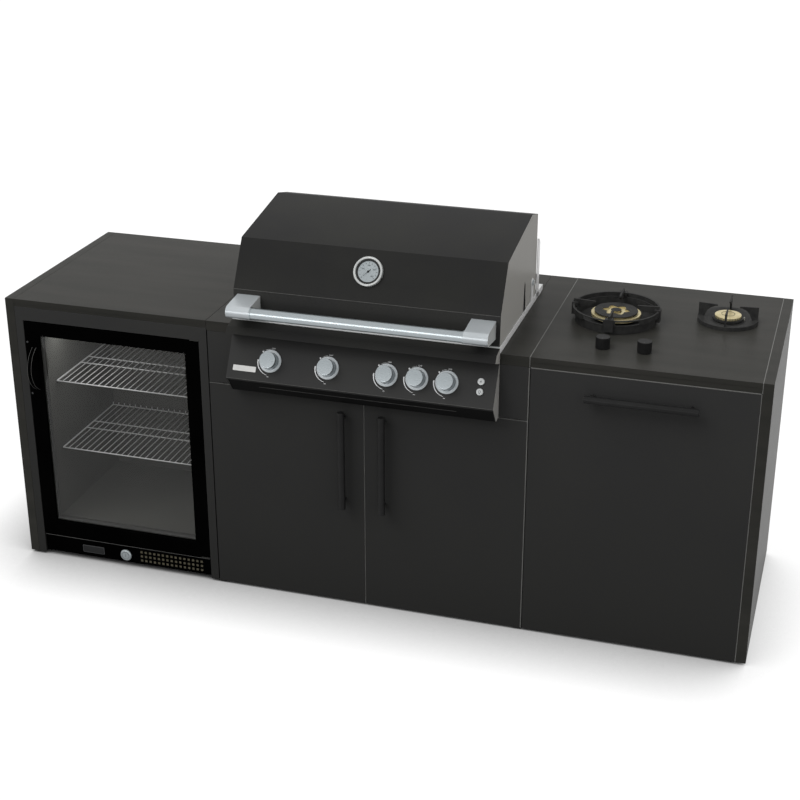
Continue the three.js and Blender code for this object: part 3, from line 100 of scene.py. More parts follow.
class Body(Enum):
    """The moving bodies that pieces ride on."""

    ISLAND = "island"
    HOOD = "hood"
    FRIDGE_DOOR = "fridge_door"
    FRIDGE_LOCK = "fridge_lock"
    LEFT_DOOR = "left_door"
    DRIP_TRAY = "drip_tray"
    IGNITER = "igniter_button"
    LIGHT = "light_button"
    GRILL_KNOB_1 = "grill_knob_1"
    GRILL_KNOB_2 = "grill_knob_2"
    GRILL_KNOB_3 = "grill_knob_3"
    GRILL_KNOB_4 = "grill_knob_4"
    GRILL_KNOB_5 = "grill_knob_5"
    HOB_KNOB_LEFT = "hob_knob_left"
    HOB_KNOB_RIGHT = "hob_knob_right"


class Slot(Enum):
    """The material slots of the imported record."""

    STONE_TOP = "stone_top"
    GRAPHITE_FRONT = "graphite_front"
    BLACK_STEEL = "black_steel"
    STAINLESS = "stainless"
    SATIN_METAL = "satin_metal"
    DIAL = "dial"
    CAST_IRON = "cast_iron"
    BRASS = "brass"
    BLACK_PLASTIC = "black_plastic"
    FRIDGE_LINER = "fridge_liner"
    SHELF_WIRE = "shelf_wire"
    GLASS = "glass"
    GASKET = "gasket"


def linear(code: str) -> tuple[float, float, float, float]:
    """Turns a six-digit sRGB colour into linear red, green, blue and full alpha.

    Args:
        code: The colour as six hexadecimal digits.

    Returns:
        The colour as Blender's shader sockets take it.
    """
    shares = [int(code[i : i + 2], 16) / 255 for i in (0, 2, 4)]
    low, gamma, offset, slope = 0.04045, 2.4, 0.055, 12.92
    light = [s / slope if s <= low else ((s + offset) / (1 + offset)) ** gamma for s in shares]
    return (light[0], light[1], light[2], 1.0)


WHITE = linear("ffffff")


class Graph:
    """A node tree that is built from nothing."""

    def __init__(self, tree: bpy.types.NodeTree) -> None:
        """Empties the tree that the nodes go into."""
        self.tree = tree
        tree.nodes.clear()

    def add(self, kind: str, inputs: Inputs | None = None, **settings: object) -> bpy.types.Node:
        """Adds a node.

        Args:
            kind: Blender's name for the node type.
            inputs: Socket names or numbers, each with a value or with the socket that feeds it.
            settings: The node's own properties.

        Returns:
            The new node.
        """
        node = self.tree.nodes.new(kind)
        for name, value in settings.items():
            setattr(node, name, value)
        for name, value in (inputs or {}).items():
            if isinstance(value, Socket):
                self.tree.links.new(value, node.inputs[name])
            else:
                node.inputs[name].default_value = value
        return node

    def noise(self, place: Socket, scale: float, detail: float) -> Socket:
        """Adds a noise with so many spots per metre and so many finer layers."""
        inputs = {"Vector": place, "Scale": scale, "Detail": detail}
        return self.add("ShaderNodeTexNoise", inputs).outputs["Fac"]

    def work_out(self, operation: str, *values: Socket) -> Socket:
        """Adds the maths node of that operation on one or two values."""
        return self.add("ShaderNodeMath", dict(enumerate(values)), operation=operation).outputs["Value"]

    def spread(self, value: Socket, source: Span, target: Span) -> Socket:
        """Carries a value from one span of numbers to another.

        Args:
            value: The socket to read.
            source: The span that it moves in.
            target: The span that it is carried to.

        Returns:
            The socket with the new value.
        """
        names = ("Value", "From Min", "From Max", "To Min", "To Max")
        inputs = dict(zip(names, (value, *source, *target)))
        return self.add("ShaderNodeMapRange", inputs).outputs["Result"]

    def blend(self, share: Socket, first: object, second: object) -> Socket:
        """Mixes two colours, the first shown where the share is zero and the second where it is one."""
        inputs = {0: share, MIX_A: first, MIX_B: second}
        return self.add("ShaderNodeMix", inputs, data_type="RGBA").outputs[MIX_RESULT]

    def edges(self, radius: float, spots: Socket) -> Socket:
        """Finds the edges of a piece, broken up, where wear and a painted highlight make it paler.

        Args:
            radius: How far the wear and the painted highlight reach from an edge.
            spots: A noise that breaks them up.

        Returns:
            The socket with the share of wear and painted highlight, zero on flat faces.
        """
        soft = self.add("ShaderNodeBevel", {"Radius": radius}, samples=EDGE_SAMPLES)
        sharp = self.add("ShaderNodeNewGeometry")
        inputs = {0: soft.outputs["Normal"], 1: sharp.outputs["True Normal"]}
        match = self.add("ShaderNodeVectorMath", inputs, operation="DOT_PRODUCT").outputs["Value"]
        return self.work_out("MULTIPLY", self.spread(match, EDGE_MATCH, WHOLE), spots)

    def seen(self) -> Socket:
        """Finds the rays that reach the eye straight, or by way of metal or glass.

        Returns:
            The socket with one for such a ray and zero for any other.
        """
        path = self.add("ShaderNodeLightPath")
        found = path.outputs["Is Camera Ray"]
        for name in ("Is Glossy Ray", "Is Transmission Ray"):
            found = self.work_out("MAXIMUM", found, path.outputs[name])
        return found


@dataclass(frozen=True)
class Finish:
    """A surface finish: its name is the start of the material's name."""

    name: str

    @cache
    def material(self) -> bpy.types.Material:
        """Builds the finish's material, once.

        Returns:
            The material.
        """
        material = bpy.data.materials.new(f"{self.name}_finish")
        material.use_nodes = True
        graph = Graph(material.node_tree)
        graph.add("ShaderNodeOutputMaterial", {"Surface": self.shade(graph)})
        return material

    def shade(self, graph: Graph) -> Socket:
        """Builds the finish's shader in the graph, as each kind of finish does in its own way."""
        raise NotImplementedError


@dataclass(frozen=True)
class Coated(Finish):
    """Paint, plastic, stone, rubber or metal: mottled, grained, and paler along its edges with wear and a
    painted highlight.
    """

    colour: str
    second: str
    wear_and_highlight_tone: str
    roughness: Span
    bend: float = 1.2
    metallic: float = 0.0
    sheen: float = 0.0
    sheen_roughness: float = 0.25
    mottling: float = 5.0
    stretch: Place = (1.0, 1.0, 1.0)
    grain: float = 700.0
    relief: float = 0.00005
    wear_and_highlight: float = 0.0012

    def shade(self, graph: Graph) -> Socket:
        """Builds the shader from two tones, a grain, and edges made paler by wear and a painted
        highlight.

        Args:
            graph: The node tree to build in.

        Returns:
            The socket with the shader.
        """
        place = graph.add("ShaderNodeTexCoord").outputs["Object"]
        inputs = {"Vector": place, "Scale": self.stretch}
        streaks = graph.add("ShaderNodeMapping", inputs).outputs["Vector"]
        clouds = graph.noise(streaks, self.mottling, CLOUD_DETAIL)
        grain = graph.noise(streaks, self.grain, GRAIN_DETAIL)
        tone = graph.spread(clouds, CLOUD_SPAN, WHOLE)
        body = self.painted(graph, graph.blend(tone, linear(self.colour), linear(self.second)))
        specks = graph.noise(place, self.grain * SPOT_GRAIN_SHARE, SPOT_DETAIL)
        # Paler edges: partly wear, partly a painted highlight along every edge.
        wear_and_highlight = graph.edges(self.wear_and_highlight, graph.spread(specks, SPOT_SPAN, SPOT_WEAR_AND_HIGHLIGHT))
        inputs = {
            "Base Color": graph.blend(wear_and_highlight, body, linear(self.wear_and_highlight_tone)),
            "Roughness": graph.spread(grain, GRAIN_SPAN, self.roughness),
            "Metallic": self.metallic,
            "IOR": self.bend,
            "Sheen Weight": self.sheen,
            "Sheen Roughness": self.sheen_roughness,
            "Normal": self.bump(graph, grain),
        }
        return graph.add("ShaderNodeBsdfPrincipled", inputs).outputs["BSDF"]

    def painted(self, graph: Graph, body: Socket) -> Socket:
        """Leaves the body colour as it is; the finishes below add to it here."""
        return body

    def bump(self, graph: Graph, height: Socket) -> Socket:
        """Turns the grain's height into a bump."""
        return graph.add("ShaderNodeBump", {"Height": height, "Distance": self.relief}).outputs["Normal"]


@dataclass(frozen=True)
class PaintedSideLight(Coated):
    """A coated finish with painted light: a paler colour on its faces that look left or right stands for
    their grazing reflection.
    """

    side_light: str = "aba9a4"
    side_light_facing: Span = (0.9, 0.98)

    def painted(self, graph: Graph, body: Socket) -> Socket:
        """Paints light onto the faces that look left or right, in the side colour.

        Args:
            graph: The node tree to build in.
            body: The socket with the two mixed tones.

        Returns:
            The socket with the colour to show.
        """
        # Painted light: the faces that look left or right get a paler colour for a grazing reflection.
        facing = graph.add("ShaderNodeTexCoord").outputs["Normal"]
        across = graph.add("ShaderNodeSeparateXYZ", {"Vector": facing}).outputs["X"]
        share = graph.spread(graph.work_out("ABSOLUTE", across), self.side_light_facing, WHOLE)
        return graph.blend(share, body, linear(self.side_light))


@dataclass(frozen=True)
class PaintedShadeToFloor(Coated):
    """A coated finish with painted shade that darkens it towards the floor."""

    foot: str = "323231"
    foot_shade_span: Span = (0.0, 0.9)

    def painted(self, graph: Graph, body: Socket) -> Socket:
        """Paints shade that darkens the colour towards the floor.

        Args:
            graph: The node tree to build in.
            body: The socket with the two mixed tones.

        Returns:
            The socket with the colour to show.
        """
        # Painted shade: the colour fades to the foot colour towards the floor.
        place = graph.add("ShaderNodeNewGeometry").outputs["Position"]
        height = graph.add("ShaderNodeSeparateXYZ", {"Vector": place}).outputs["Z"]
        return graph.blend(graph.spread(height, self.foot_shade_span, WHOLE), linear(self.foot), body)


@dataclass(frozen=True)
class Pane(Finish):
    """Glass that dims what is behind it and mirrors more at a slant, on its outer side only."""

    tint: str
    bend: float = 1.4
    roughness: Span = (0.02, 0.06)
    smears: float = 6.0

    def shade(self, graph: Graph) -> Socket:
        """Builds the shader from a clear and a mirroring part.

        Args:
            graph: The node tree to build in.

        Returns:
            The socket with the shader.
        """
        place = graph.add("ShaderNodeTexCoord").outputs["Object"]
        smears = graph.noise(place, self.smears, SMEAR_DETAIL)
        clear = graph.add("ShaderNodeBsdfTransparent", {"Color": linear(self.tint)})
        roughness = graph.spread(smears, GRAIN_SPAN, self.roughness)
        mirror = graph.add("ShaderNodeBsdfGlossy", {"Roughness": roughness})
        slant = graph.add("ShaderNodeFresnel", {"IOR": self.bend}).outputs["Fac"]
        inner = graph.add("ShaderNodeNewGeometry").outputs["Backfacing"]
        share = graph.work_out("MULTIPLY", slant, graph.spread(inner, WHOLE, WHOLE[::-1]))
        inputs = {0: share, 1: clear.outputs["BSDF"], 2: mirror.outputs["BSDF"]}
        return graph.add("ShaderNodeMixShader", inputs).outputs["Shader"]


@dataclass(frozen=True)
class Backdrop(Finish):
    """The studio floor: white to the eye, with a soft shadow round whatever stands on it."""

    tone: str
    bounce: str = "747474"
    roughness: float = 0.9
    mottling: float = 30.0
    cast_share: float = 0.14
    shadow_reach: float = 0.34
    shadow_lean: Place = (0.32, 0.32, 0.89)
    shadow_span: Span = (0.13, 0.92)
    shadow_depth: Span = (0.0, 1.1)
    shadow_samples: int = 16

    def shade(self, graph: Graph) -> Socket:
        """Builds a pale floor that seen rays find white outside the shadow.

        Args:
            graph: The node tree to build in.

        Returns:
            The socket with the shader.
        """
        place = graph.add("ShaderNodeTexCoord").outputs["Object"]
        clouds = graph.spread(graph.noise(place, self.mottling, GRAIN_DETAIL), GRAIN_SPAN, WHOLE)
        seen = graph.seen()
        pale = graph.blend(clouds, linear(self.tone), WHITE)
        tone = graph.blend(seen, linear(self.bounce), pale)
        lit = graph.add("ShaderNodeBsdfDiffuse", {"Color": tone, "Roughness": self.roughness})
        shadow = graph.spread(self.openness(graph), self.shadow_span, self.shadow_depth)
        white = graph.add("ShaderNodeEmission", {"Color": WHITE, "Strength": shadow})
        share = graph.spread(seen, WHOLE, (0.0, 1 - self.cast_share))
        inputs = {0: share, 1: lit.outputs["BSDF"], 2: white.outputs["Emission"]}
        return graph.add("ShaderNodeMixShader", inputs).outputs["Shader"]

    def openness(self, graph: Graph) -> Socket:
        """Finds how open the floor is to the side that the light comes from.

        Args:
            graph: The node tree to build in.

        Returns:
            The socket with one on open floor, and less near whatever stands on it.
        """
        lean = graph.add("ShaderNodeCombineXYZ", dict(zip("XYZ", self.shadow_lean))).outputs["Vector"]
        inputs = {"Distance": self.shadow_reach, "Normal": lean}
        return graph.add("ShaderNodeAmbientOcclusion", inputs, samples=self.shadow_samples).outputs["AO"]


# The finishes of the record's slots: first come the two tones, the edge tone of wear and painted
# highlight, and the roughness
STONE = Coated(
    "stone_top", "343431", "3b3a37", "4c4b48", (0.3, 0.4), 1.11, mottling=2.2,
    stretch=(1.0, 7.0, 9.0), relief=0.00008,
)
# The fronts' colour carries painted shade, darker towards the floor.
GRAPHITE = PaintedShadeToFloor("graphite_front", "3b3b3b", "3e3e3d", "484847", (0.34, 0.42), 1.1, mottling=3.0)
BLACK_STEEL = Coated(
    "black_steel", "2d2d2d", "31312f", "4a4a49", (0.3, 0.38), 1.07, mottling=4.0,
    relief=0.00003, sheen=0.3,
)
STAINLESS = Coated(
    "stainless", "b0b3b6", "b7babc", "d0d3d4", (0.28, 0.32), metallic=0.6, mottling=6.0,
    stretch=(0.03, 1.0, 1.0), relief=0.000003,
)
SATIN_METAL = Coated(
    "satin_metal", "9da4a7", "a6adb0", "d2d7da", (0.26, 0.32), metallic=0.85, mottling=12.0,
    stretch=(0.05, 1.0, 1.0), relief=0.000004,
)
DIAL = Coated("dial", "9ca3a6", "a4abad", "c9cfd2", (0.3, 0.42), metallic=0.5, mottling=20.0)
CAST_IRON = Coated(
    "cast_iron", "2e2e2e", "383837", "3c3c3b", (0.5, 0.68), 1.15, mottling=60.0, relief=0.0002,
)
BRASS = Coated(
    "brass", "d2c69c", "c0b286", "ece3c0", (0.26, 0.42), metallic=0.5, mottling=40.0, relief=0.00005,
)
BLACK_PLASTIC = Coated(
    "black_plastic", "020202", "040404", "121212", (0.5, 0.6), 1.03, mottling=8.0, relief=0.00002,
)
FRIDGE_LINER = Coated("fridge_liner", "4a4a47", "52524f", "62625f", (0.5, 0.6), 1.2, mottling=4.0)
SHELF_WIRE = Coated("shelf_wire", "bfc0c1", "c8c9ca", "e2e3e4", (0.3, 0.4), 1.4, mottling=30.0)
GLASS = Pane("glass", "f7f7f6")
GASKET = Coated("gasket", "0d0d0d", "141414", "2a2a2a", (0.6, 0.75), 1.1, mottling=20.0)

SLOT_FINISHES: dict[Slot, Finish] = {
    Slot.STONE_TOP: STONE,
    Slot.GRAPHITE_FRONT: GRAPHITE,
    Slot.BLACK_STEEL: BLACK_STEEL,
    Slot.STAINLESS: STAINLESS,
    Slot.SATIN_METAL: SATIN_METAL,
    Slot.DIAL: DIAL,
    Slot.CAST_IRON: CAST_IRON,
    Slot.BRASS: BRASS,
    Slot.BLACK_PLASTIC: BLACK_PLASTIC,
    Slot.FRIDGE_LINER: FRIDGE_LINER,
    Slot.SHELF_WIRE: SHELF_WIRE,
    Slot.GLASS: GLASS,
    Slot.GASKET: GASKET,
}

# The finishes of single nodes that look unlike the rest of their slot
# The side colours of these four finishes paint light on their faces that look left or right.
BRIGHT_METAL = PaintedSideLight(
    "bright_satin", "b8bec1", "c0c5c8", "dcdfe1", (0.3, 0.4), metallic=0.4, mottling=12.0,
    relief=0.00002, side_light="e6e9e8",
)
FLANGE_METAL = PaintedSideLight(
    "flange_satin", "e6e9e9", "eeefef", "f6f7f7", (0.3, 0.4), 1.8, mottling=12.0,
    relief=0.00001, side_light="fcfcfc",
)
HOOD_BLACK = PaintedSideLight(
    "hood_black", "2f2f2f", "333331", "4a4a49", (0.3, 0.38), 1.07, mottling=4.0,
    relief=0.00003, sheen=0.2,
)
PANEL_BLACK = PaintedSideLight(
    "panel_black", "3d3d3d", "414140", "545453", (0.3, 0.38), 1.1, mottling=4.0,
    relief=0.00003, side_light="bcbab6",
)
TRAY_BLACK = Coated(
    "tray_black", "101010", "151515", "343434", (0.3, 0.38), 1.1, mottling=4.0, relief=0.00003,
)
HANDLE_BLACK = Coated(
    "handle_black", "202020", "252525", "464645", (0.34, 0.44), 1.2, mottling=20.0, relief=0.00002,
)
BUTTON = Coated("button_satin", "bcbfbf", "c6c8c8", "e4e6e6", (0.3, 0.4), metallic=0.3, mottling=20.0)

NODE_FINISHES: dict[str, Finish] = {
    "hood": HOOD_BLACK,
    "hood_handle_bracket_left": BRIGHT_METAL,
    "hood_handle_bracket_right": BRIGHT_METAL,
    "hood_hinge_bolt_left": BRIGHT_METAL,
    "hood_hinge_bolt_right": BRIGHT_METAL,
    "grill_flange": FLANGE_METAL,
    "grill_bezel": HOOD_BLACK,
    "control_panel": PANEL_BLACK,
    "drip_tray": TRAY_BLACK,
    "igniter_button": BUTTON,
    "light_button": BUTTON,
    "door_handle_left": HANDLE_BLACK,
    "door_handle_right": HANDLE_BLACK,
    "gas_drawer_handle": HANDLE_BLACK,
}

# The finishes of the pieces that this scene adds
# Pale lines in the gaps: painted highlight of the lit edges there.
SEAM_HIGHLIGHT = Coated("seam_light", "767674", "80807d", "90908e", (0.5, 0.6), mottling=14.0)
# Pale lines along edges: painted highlights.
EDGE_HIGHLIGHT = Coated("edge_painted_highlight", "4e4e4d", "5a5a58", "747472", (0.4, 0.5), mottling=14.0)
PRINT = Coated("print_white", "eceeef", "f4f5f6", "fafafa", (0.5, 0.6), mottling=60.0)
# Dark print on the thermometer; on the hob the same colour paints the shade in the flame ports and the
# crown's groove.
INK_AND_SHADE = Coated("print_and_painted_shade", "26292b", "303335", "484b4d", (0.5, 0.6), mottling=60.0)
SIGN = Coated("sign_grey", "6c7174", "787d80", "8e9396", (0.4, 0.5), mottling=60.0)
LABEL = Coated("label_plate", "c9c9c7", "d4d4d2", "e8e8e6", (0.35, 0.45), metallic=0.3, mottling=30.0)
DIAL_RIM = Coated("dial_rim", "c2c4c3", "cdcfcd", "e0e2e1", (0.3, 0.4), metallic=0.3, mottling=20.0)
DIAL_RING = Coated("dial_ring", "2b2c2c", "333434", "4a4b4b", (0.4, 0.5), mottling=20.0)
SCREEN = Coated("display_screen", "1b1c1d", "222324", "333435", (0.12, 0.2), 1.3, mottling=20.0)
SURROUND = Coated("display_surround", "3e3f40", "474849", "5e5f60", (0.4, 0.5), mottling=20.0)
SPACER = Coated("glazing_spacer", "3a3a39", "424241", "5a5a58", (0.5, 0.6), mottling=30.0)
VENT_DARK = Coated("vent_backing", "5a5648", "686354", "7a7566", (0.6, 0.7), mottling=90.0)
KNOB_BLACK = Coated("hob_knob_black", "1a1a1a", "202020", "2b2b2b", (0.42, 0.52), 1.2, mottling=40.0)
POINTER = Coated("pointer_grey", "3a3a3a", "444444", "585858", (0.5, 0.6), mottling=60.0)
CERAMIC = Coated("pin_ceramic", "8c8a80", "98968c", "b0aea6", (0.35, 0.45), 1.4, mottling=60.0)
STUDIO_FLOOR = Backdrop("studio_floor", "fafafa")

# The width of the rounded edges of the CAD nodes; wires and glass stay sharp
BEVELS: dict[Slot, float] = {
    Slot.STONE_TOP: 0.0012,
    Slot.GRAPHITE_FRONT: 0.001,
    Slot.BLACK_STEEL: 0.0008,
    Slot.STAINLESS: 0.0006,
    Slot.SATIN_METAL: 0.0006,
    Slot.DIAL: 0.0006,
    Slot.CAST_IRON: 0.0008,
    Slot.BRASS: 0.0006,
    Slot.BLACK_PLASTIC: 0.0008,
    Slot.FRIDGE_LINER: 0.0012,
    Slot.GASKET: 0.0015,
}


@dataclass(frozen=True)
class Face:
    """The way that a flat drawing faces: its X and its Y direction in space."""

    right: Vector
    up: Vector

    def place(self, origin: Vector) -> Matrix:
        """Places a drawing, with its Z axis coming out of the face.

        Args:
            origin: Where its middle goes.

        Returns:
            The matrix that carries it there.
        """
        out = self.right.cross(self.up)
        turned = Matrix((self.right, self.up, out)).transposed()
        return Matrix.Translation(origin) @ turned.to_4x4()


LEVEL = Face(RIGHT, BACK)
TO_FRONT = Face(RIGHT, UP)
TO_RIGHT = Face(BACK, UP)


def at(x: float, y: float, z: float) -> Vector:
    """Carries a place on the island into the row frame.

    Args:
        x: Distance right of the island's left end.
        y: Distance behind the worktop's front edge.
        z: Height over the floor.

    Returns:
        The place in the row frame.
    """
    return ISLAND_CORNER + Vector((x, y, z))


def middle_of(node: str) -> Vector:
    """Finds the middle of a CAD node's box.

    Args:
        node: The node's name.

    Returns:
        The middle, in the row frame.
    """
    low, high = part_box(node)
    return (low + high) / 2


def evenly(span: Span, count: int) -> list[float]:
    """Spreads values evenly over a span, from its first end to its second.

    Args:
        span: The span's two ends.
        count: How many values there are.

    Returns:
        The values in order.
    """
    return [span[0] + (span[1] - span[0]) * (i / (count - 1)) for i in range(count)]


def polar(radius: float, turn: float) -> Point:
    """Finds the point at a distance from zero and an angle round it.

    Args:
        radius: The distance.
        turn: The angle, in radians.

    Returns:
        The point.
    """
    return (radius * math.cos(turn), radius * math.sin(turn))


def scaled(outline: Outline, size: float) -> Outline:
    """Draws an outline of shares at its real size.

    Args:
        outline: Its corners, in shares of the size.
        size: The size.

    Returns:
        The corners.
    """
    return [(x * size, y * size) for x, y in outline]


def rounded(width: float, height: float, corner: float, steps: int = 5) -> Outline:
    """Draws a rectangle with round corners about zero.

    Args:
        width: Its width.
        height: Its height.
        corner: The radius of its corners.
        steps: How many pieces each corner has.

    Returns:
        The outline.
    """
    points = []
    for quarter, (sx, sy) in enumerate(((1, 1), (-1, 1), (-1, -1), (1, -1))):
        for i in range(steps + 1):
            x, y = polar(corner, TURN / 4 * (quarter + i / steps))
            points.append((sx * (width / 2 - corner) + x, sy * (height / 2 - corner) + y))
    return points


def moved(part: Mesh, place: Matrix) -> Mesh:
    """Moves a mesh.

    Args:
        part: The mesh.
        place: The matrix that carries it.

    Returns:
        The same mesh.
    """
    part.transform(place)
    return part


def joined(parts: Iterable[Mesh]) -> Mesh:
    """Puts several meshes in one.

    Args:
        parts: The meshes, which are used up.

    Returns:
        The one mesh.
    """
    whole = bmesh.new()
    for part in parts:
        scratch = bpy.data.meshes.new("scratch")
        part.to_mesh(scratch)
        part.free()
        whole.from_mesh(scratch)
        bpy.data.meshes.remove(scratch)
    return whole


def block(low: Sequence[float], high: Sequence[float]) -> Mesh:
    """Builds a block between two corners.

    Args:
        low: Its lowest corner.
        high: Its highest corner.

    Returns:
        The block.
    """
    mesh = bmesh.new()
    bmesh.ops.create_cube(mesh, size=1.0)
    size = Vector(high) - Vector(low)
    middle = (Vector(high) + Vector(low)) / 2
    return moved(mesh, Matrix.Translation(middle) @ Matrix.Diagonal((*size, 1.0)))


def plate(outline: Outline, thickness: float) -> Mesh:
    """Builds a flat plate over an outline, rising from height zero.

    Args:
        outline: Its corners in order.
        thickness: How high it stands.

    Returns:
        The plate.
    """
    mesh = bmesh.new()
    face = mesh.faces.new([mesh.verts.new((x, y, 0.0)) for x, y in outline])
    top = bmesh.ops.extrude_face_region(mesh, geom=[face])["geom"]
    raised = [v for v in top if isinstance(v, bmesh.types.BMVert)]
    bmesh.ops.translate(mesh, vec=(0.0, 0.0, thickness), verts=raised)
    return mesh


def band(inner: Span, outer: Span, turns: Span, steps: int, thickness: float) -> Mesh:
    """Builds a curved band whose width and radius change along it.

    Args:
        inner: Its inner radius at its two ends.
        outer: Its outer radius at its two ends.
        turns: The angles of its two ends, in degrees.
        steps: How many pieces it has.
        thickness: How high it stands.

    Returns:
        The band.
    """
    angles = [math.radians(turn) for turn in evenly(turns, steps + 1)]
    near, far = ([*map(polar, evenly(radii, steps + 1), angles)] for radii in (inner, outer))
    return plate(far + near[::-1], thickness)


def skinned(mesh: Mesh, columns: list[list[bmesh.types.BMVert]], closed: bool) -> Mesh:
    """Joins columns of corners round the Z axis with faces.

    Args:
        mesh: The mesh with the corners.
        columns: The corners of each step round, all in the same order.
        closed: True where each column's last corner is joined to its first.

    Returns:
        The same mesh.
    """
    count = len(columns[0])
    pairs = list(zip(range(count), range(1, count)))
    if closed:
        pairs.append((count - 1, 0))
    for here, there in zip(columns, columns[1:] + columns[:1]):
        for low, high in pairs:
            corners = list(dict.fromkeys((here[low], there[low], there[high], here[high])))
            if len(corners) > 2:
                mesh.faces.new(corners)
    return mesh


def lathe(profile: Outline, steps: int = ROUND_STEPS) -> Mesh:
    """Turns a profile about the Z axis. A profile that doesn't touch the axis becomes a ring.

    Args:
        profile: Its corners in order, each a radius and a height.
        steps: How many steps go round.

    Returns:
        The turned solid.
    """
    mesh = bmesh.new()
    columns = []
    for step in range(steps):
        turn = TURN * step / steps
        column = []
        for i, (radius, height) in enumerate(profile):
            if radius == 0 and step:
                column.append(columns[0][i])
            else:
                column.append(mesh.verts.new((*polar(radius, turn), height)))
        columns.append(column)
    return skinned(mesh, columns, closed=profile[0][0] > 0 and profile[-1][0] > 0)


def ring(radii: Span, levels: Span, steps: int = ROUND_STEPS) -> Mesh:
    """Builds a square-edged ring, or a disc where its inner radius is zero.

    Args:
        radii: Its inner and its outer radius.
        levels: Its lowest and its highest level.
        steps: How many steps go round.

    Returns:
        The ring.
    """
    (inner, outer), (low, high) = radii, levels
    return lathe([(inner, low), (outer, low), (outer, high), (inner, high)], steps)


def pierced(outer: Sequence[float], inner: Sequence[float], levels: Span) -> Mesh:
    """Builds a flat ring whose two outlines have any shape round the Z axis.

    Args:
        outer: The outer outline's radius at each step round.
        inner: The opening's radius at each step round.
        levels: Its lowest and its highest level.

    Returns:
        The ring.
    """
    mesh = bmesh.new()
    low, high = levels
    columns = []
    for step, (near, far) in enumerate(zip(inner, outer)):
        turn = TURN * step / len(outer)
        corners = ((near, low), (far, low), (far, high), (near, high))
        columns.append([mesh.verts.new((*polar(reach, turn), level)) for reach, level in corners])
    return skinned(mesh, columns, closed=True)


def rod(start: Vector, end: Vector, radius: float, steps: int = WIRE_STEPS) -> Mesh:
    """Builds a round rod between two points.

    Args:
        start: Where it begins.
        end: Where it ends.
        radius: Its radius.
        steps: How many steps go round.

    Returns:
        The rod.
    """
    along = end - start
    turned = along.to_track_quat("Z", "Y").to_matrix().to_4x4()
    return moved(ring((0.0, radius), (0.0, along.length), steps), Matrix.Translation(start) @ turned)


def wire(points: Sequence[Vector], radius: float) -> Mesh:
    """Builds a thin round line through points.

    Args:
        points: The points in order.
        radius: The line's radius.

    Returns:
        The line.
    """
    return joined(rod(start, end, radius) for start, end in zip(points, points[1:]))


def shown(name: str, data: bpy.types.ID) -> bpy.types.Object:
    """Adds an object to the scene.

    Args:
        name: Its name.
        data: Its mesh, curve, lamp or camera.

    Returns:
        The object.
    """
    obj = bpy.data.objects.new(name, data)
    bpy.context.scene.collection.objects.link(obj)
    return obj


def solid(name: str, mesh: Mesh, finish: Finish) -> bpy.types.Object:
    """Adds a mesh to the scene in its finish.

    Args:
        name: The object's name.
        mesh: Its mesh, which is used up.
        finish: Its finish.

    Returns:
        The object.
    """
    data = bpy.data.meshes.new(name)
    mesh.to_mesh(data)
    mesh.free()
    data.materials.append(finish.material())
    return shown(name, data)


def lettering(text: str, size: float, thickness: float) -> Mesh:
    """Builds raised letters or numbers in the XY plane, about zero.

    Args:
        text: The letters.
        size: Their height.
        thickness: How far they stand up.

    Returns:
        The letters.
    """
    curve = bpy.data.curves.new("scratch_text", "FONT")
    curve.body = text
    curve.size = size
    curve.align_x = "CENTER"
    curve.align_y = "CENTER"
    curve.extrude = thickness / 2
    holder = shown("scratch_text", curve)
    drawn = bpy.data.meshes.new_from_object(holder)
    mesh = bmesh.new()
    mesh.from_mesh(drawn)
    bpy.data.objects.remove(holder)
    bpy.data.curves.remove(curve)
    bpy.data.meshes.remove(drawn)
    return moved(mesh, Matrix.Translation((0.0, 0.0, thickness / 2)))


@cache
def smoothing() -> bpy.types.NodeTree:
    """Builds the modifier group that smooths a mesh between its sharp edges.

    Returns:
        The group.
    """
    group = bpy.data.node_groups.new("smooth_between_edges", "GeometryNodeTree")
    for way in ("INPUT", "OUTPUT"):
        group.interface.new_socket("Geometry", in_out=way, socket_type="NodeSocketGeometry")
    graph = Graph(group)
    entry = graph.add("NodeGroupInput").outputs[0]
    faces = graph.add("GeometryNodeSetShadeSmooth", {"Geometry": entry}).outputs[0]
    angle = graph.add("GeometryNodeInputMeshEdgeAngle").outputs["Unsigned Angle"]
    sharp = graph.add("FunctionNodeCompare", {"A": angle, "B": SMOOTH_ANGLE}, operation="GREATER_THAN")
    inputs = {"Geometry": faces, "Selection": sharp.outputs["Result"], "Shade Smooth": False}
    edges = graph.add("GeometryNodeSetShadeSmooth", inputs, domain="EDGE").outputs[0]
    graph.add("NodeGroupOutput", {0: edges})
    return group


def modify(obj: bpy.types.Object, name: str, kind: str, **settings: object) -> None:
    """Adds a modifier to an object.

    Args:
        obj: The object.
        name: The modifier's name.
        kind: Blender's name for the modifier type.
        settings: The modifier's own properties.
    """
    modifier = obj.modifiers.new(name, kind)
    for setting, value in settings.items():
        setattr(modifier, setting, value)


def shape_up(obj: bpy.types.Object, bevel: float, cad: bool) -> None:
    """Adds the modifiers that round a piece's edges and smooth its curved faces.

    Args:
        obj: The piece.
        bevel: The width of its rounded edges.
        cad: True for a CAD node, whose split faces are welded first.
    """
    if cad:
        modify(obj, "weld", "WELD", merge_threshold=WELD)
        modify(obj, "flatten", "DECIMATE", decimate_type="DISSOLVE", angle_limit=FLAT_ANGLE)
    if bevel:
        modify(
            obj, "soft_edges", "BEVEL", width=bevel, segments=BEVEL_STEPS, limit_method="ANGLE",
            angle_limit=SMOOTH_ANGLE, use_clamp_overlap=True,
        )
    modify(obj, "smooth", "NODES", node_group=smoothing())
    modify(obj, "even_shading", "WEIGHTED_NORMAL", keep_sharp=True)


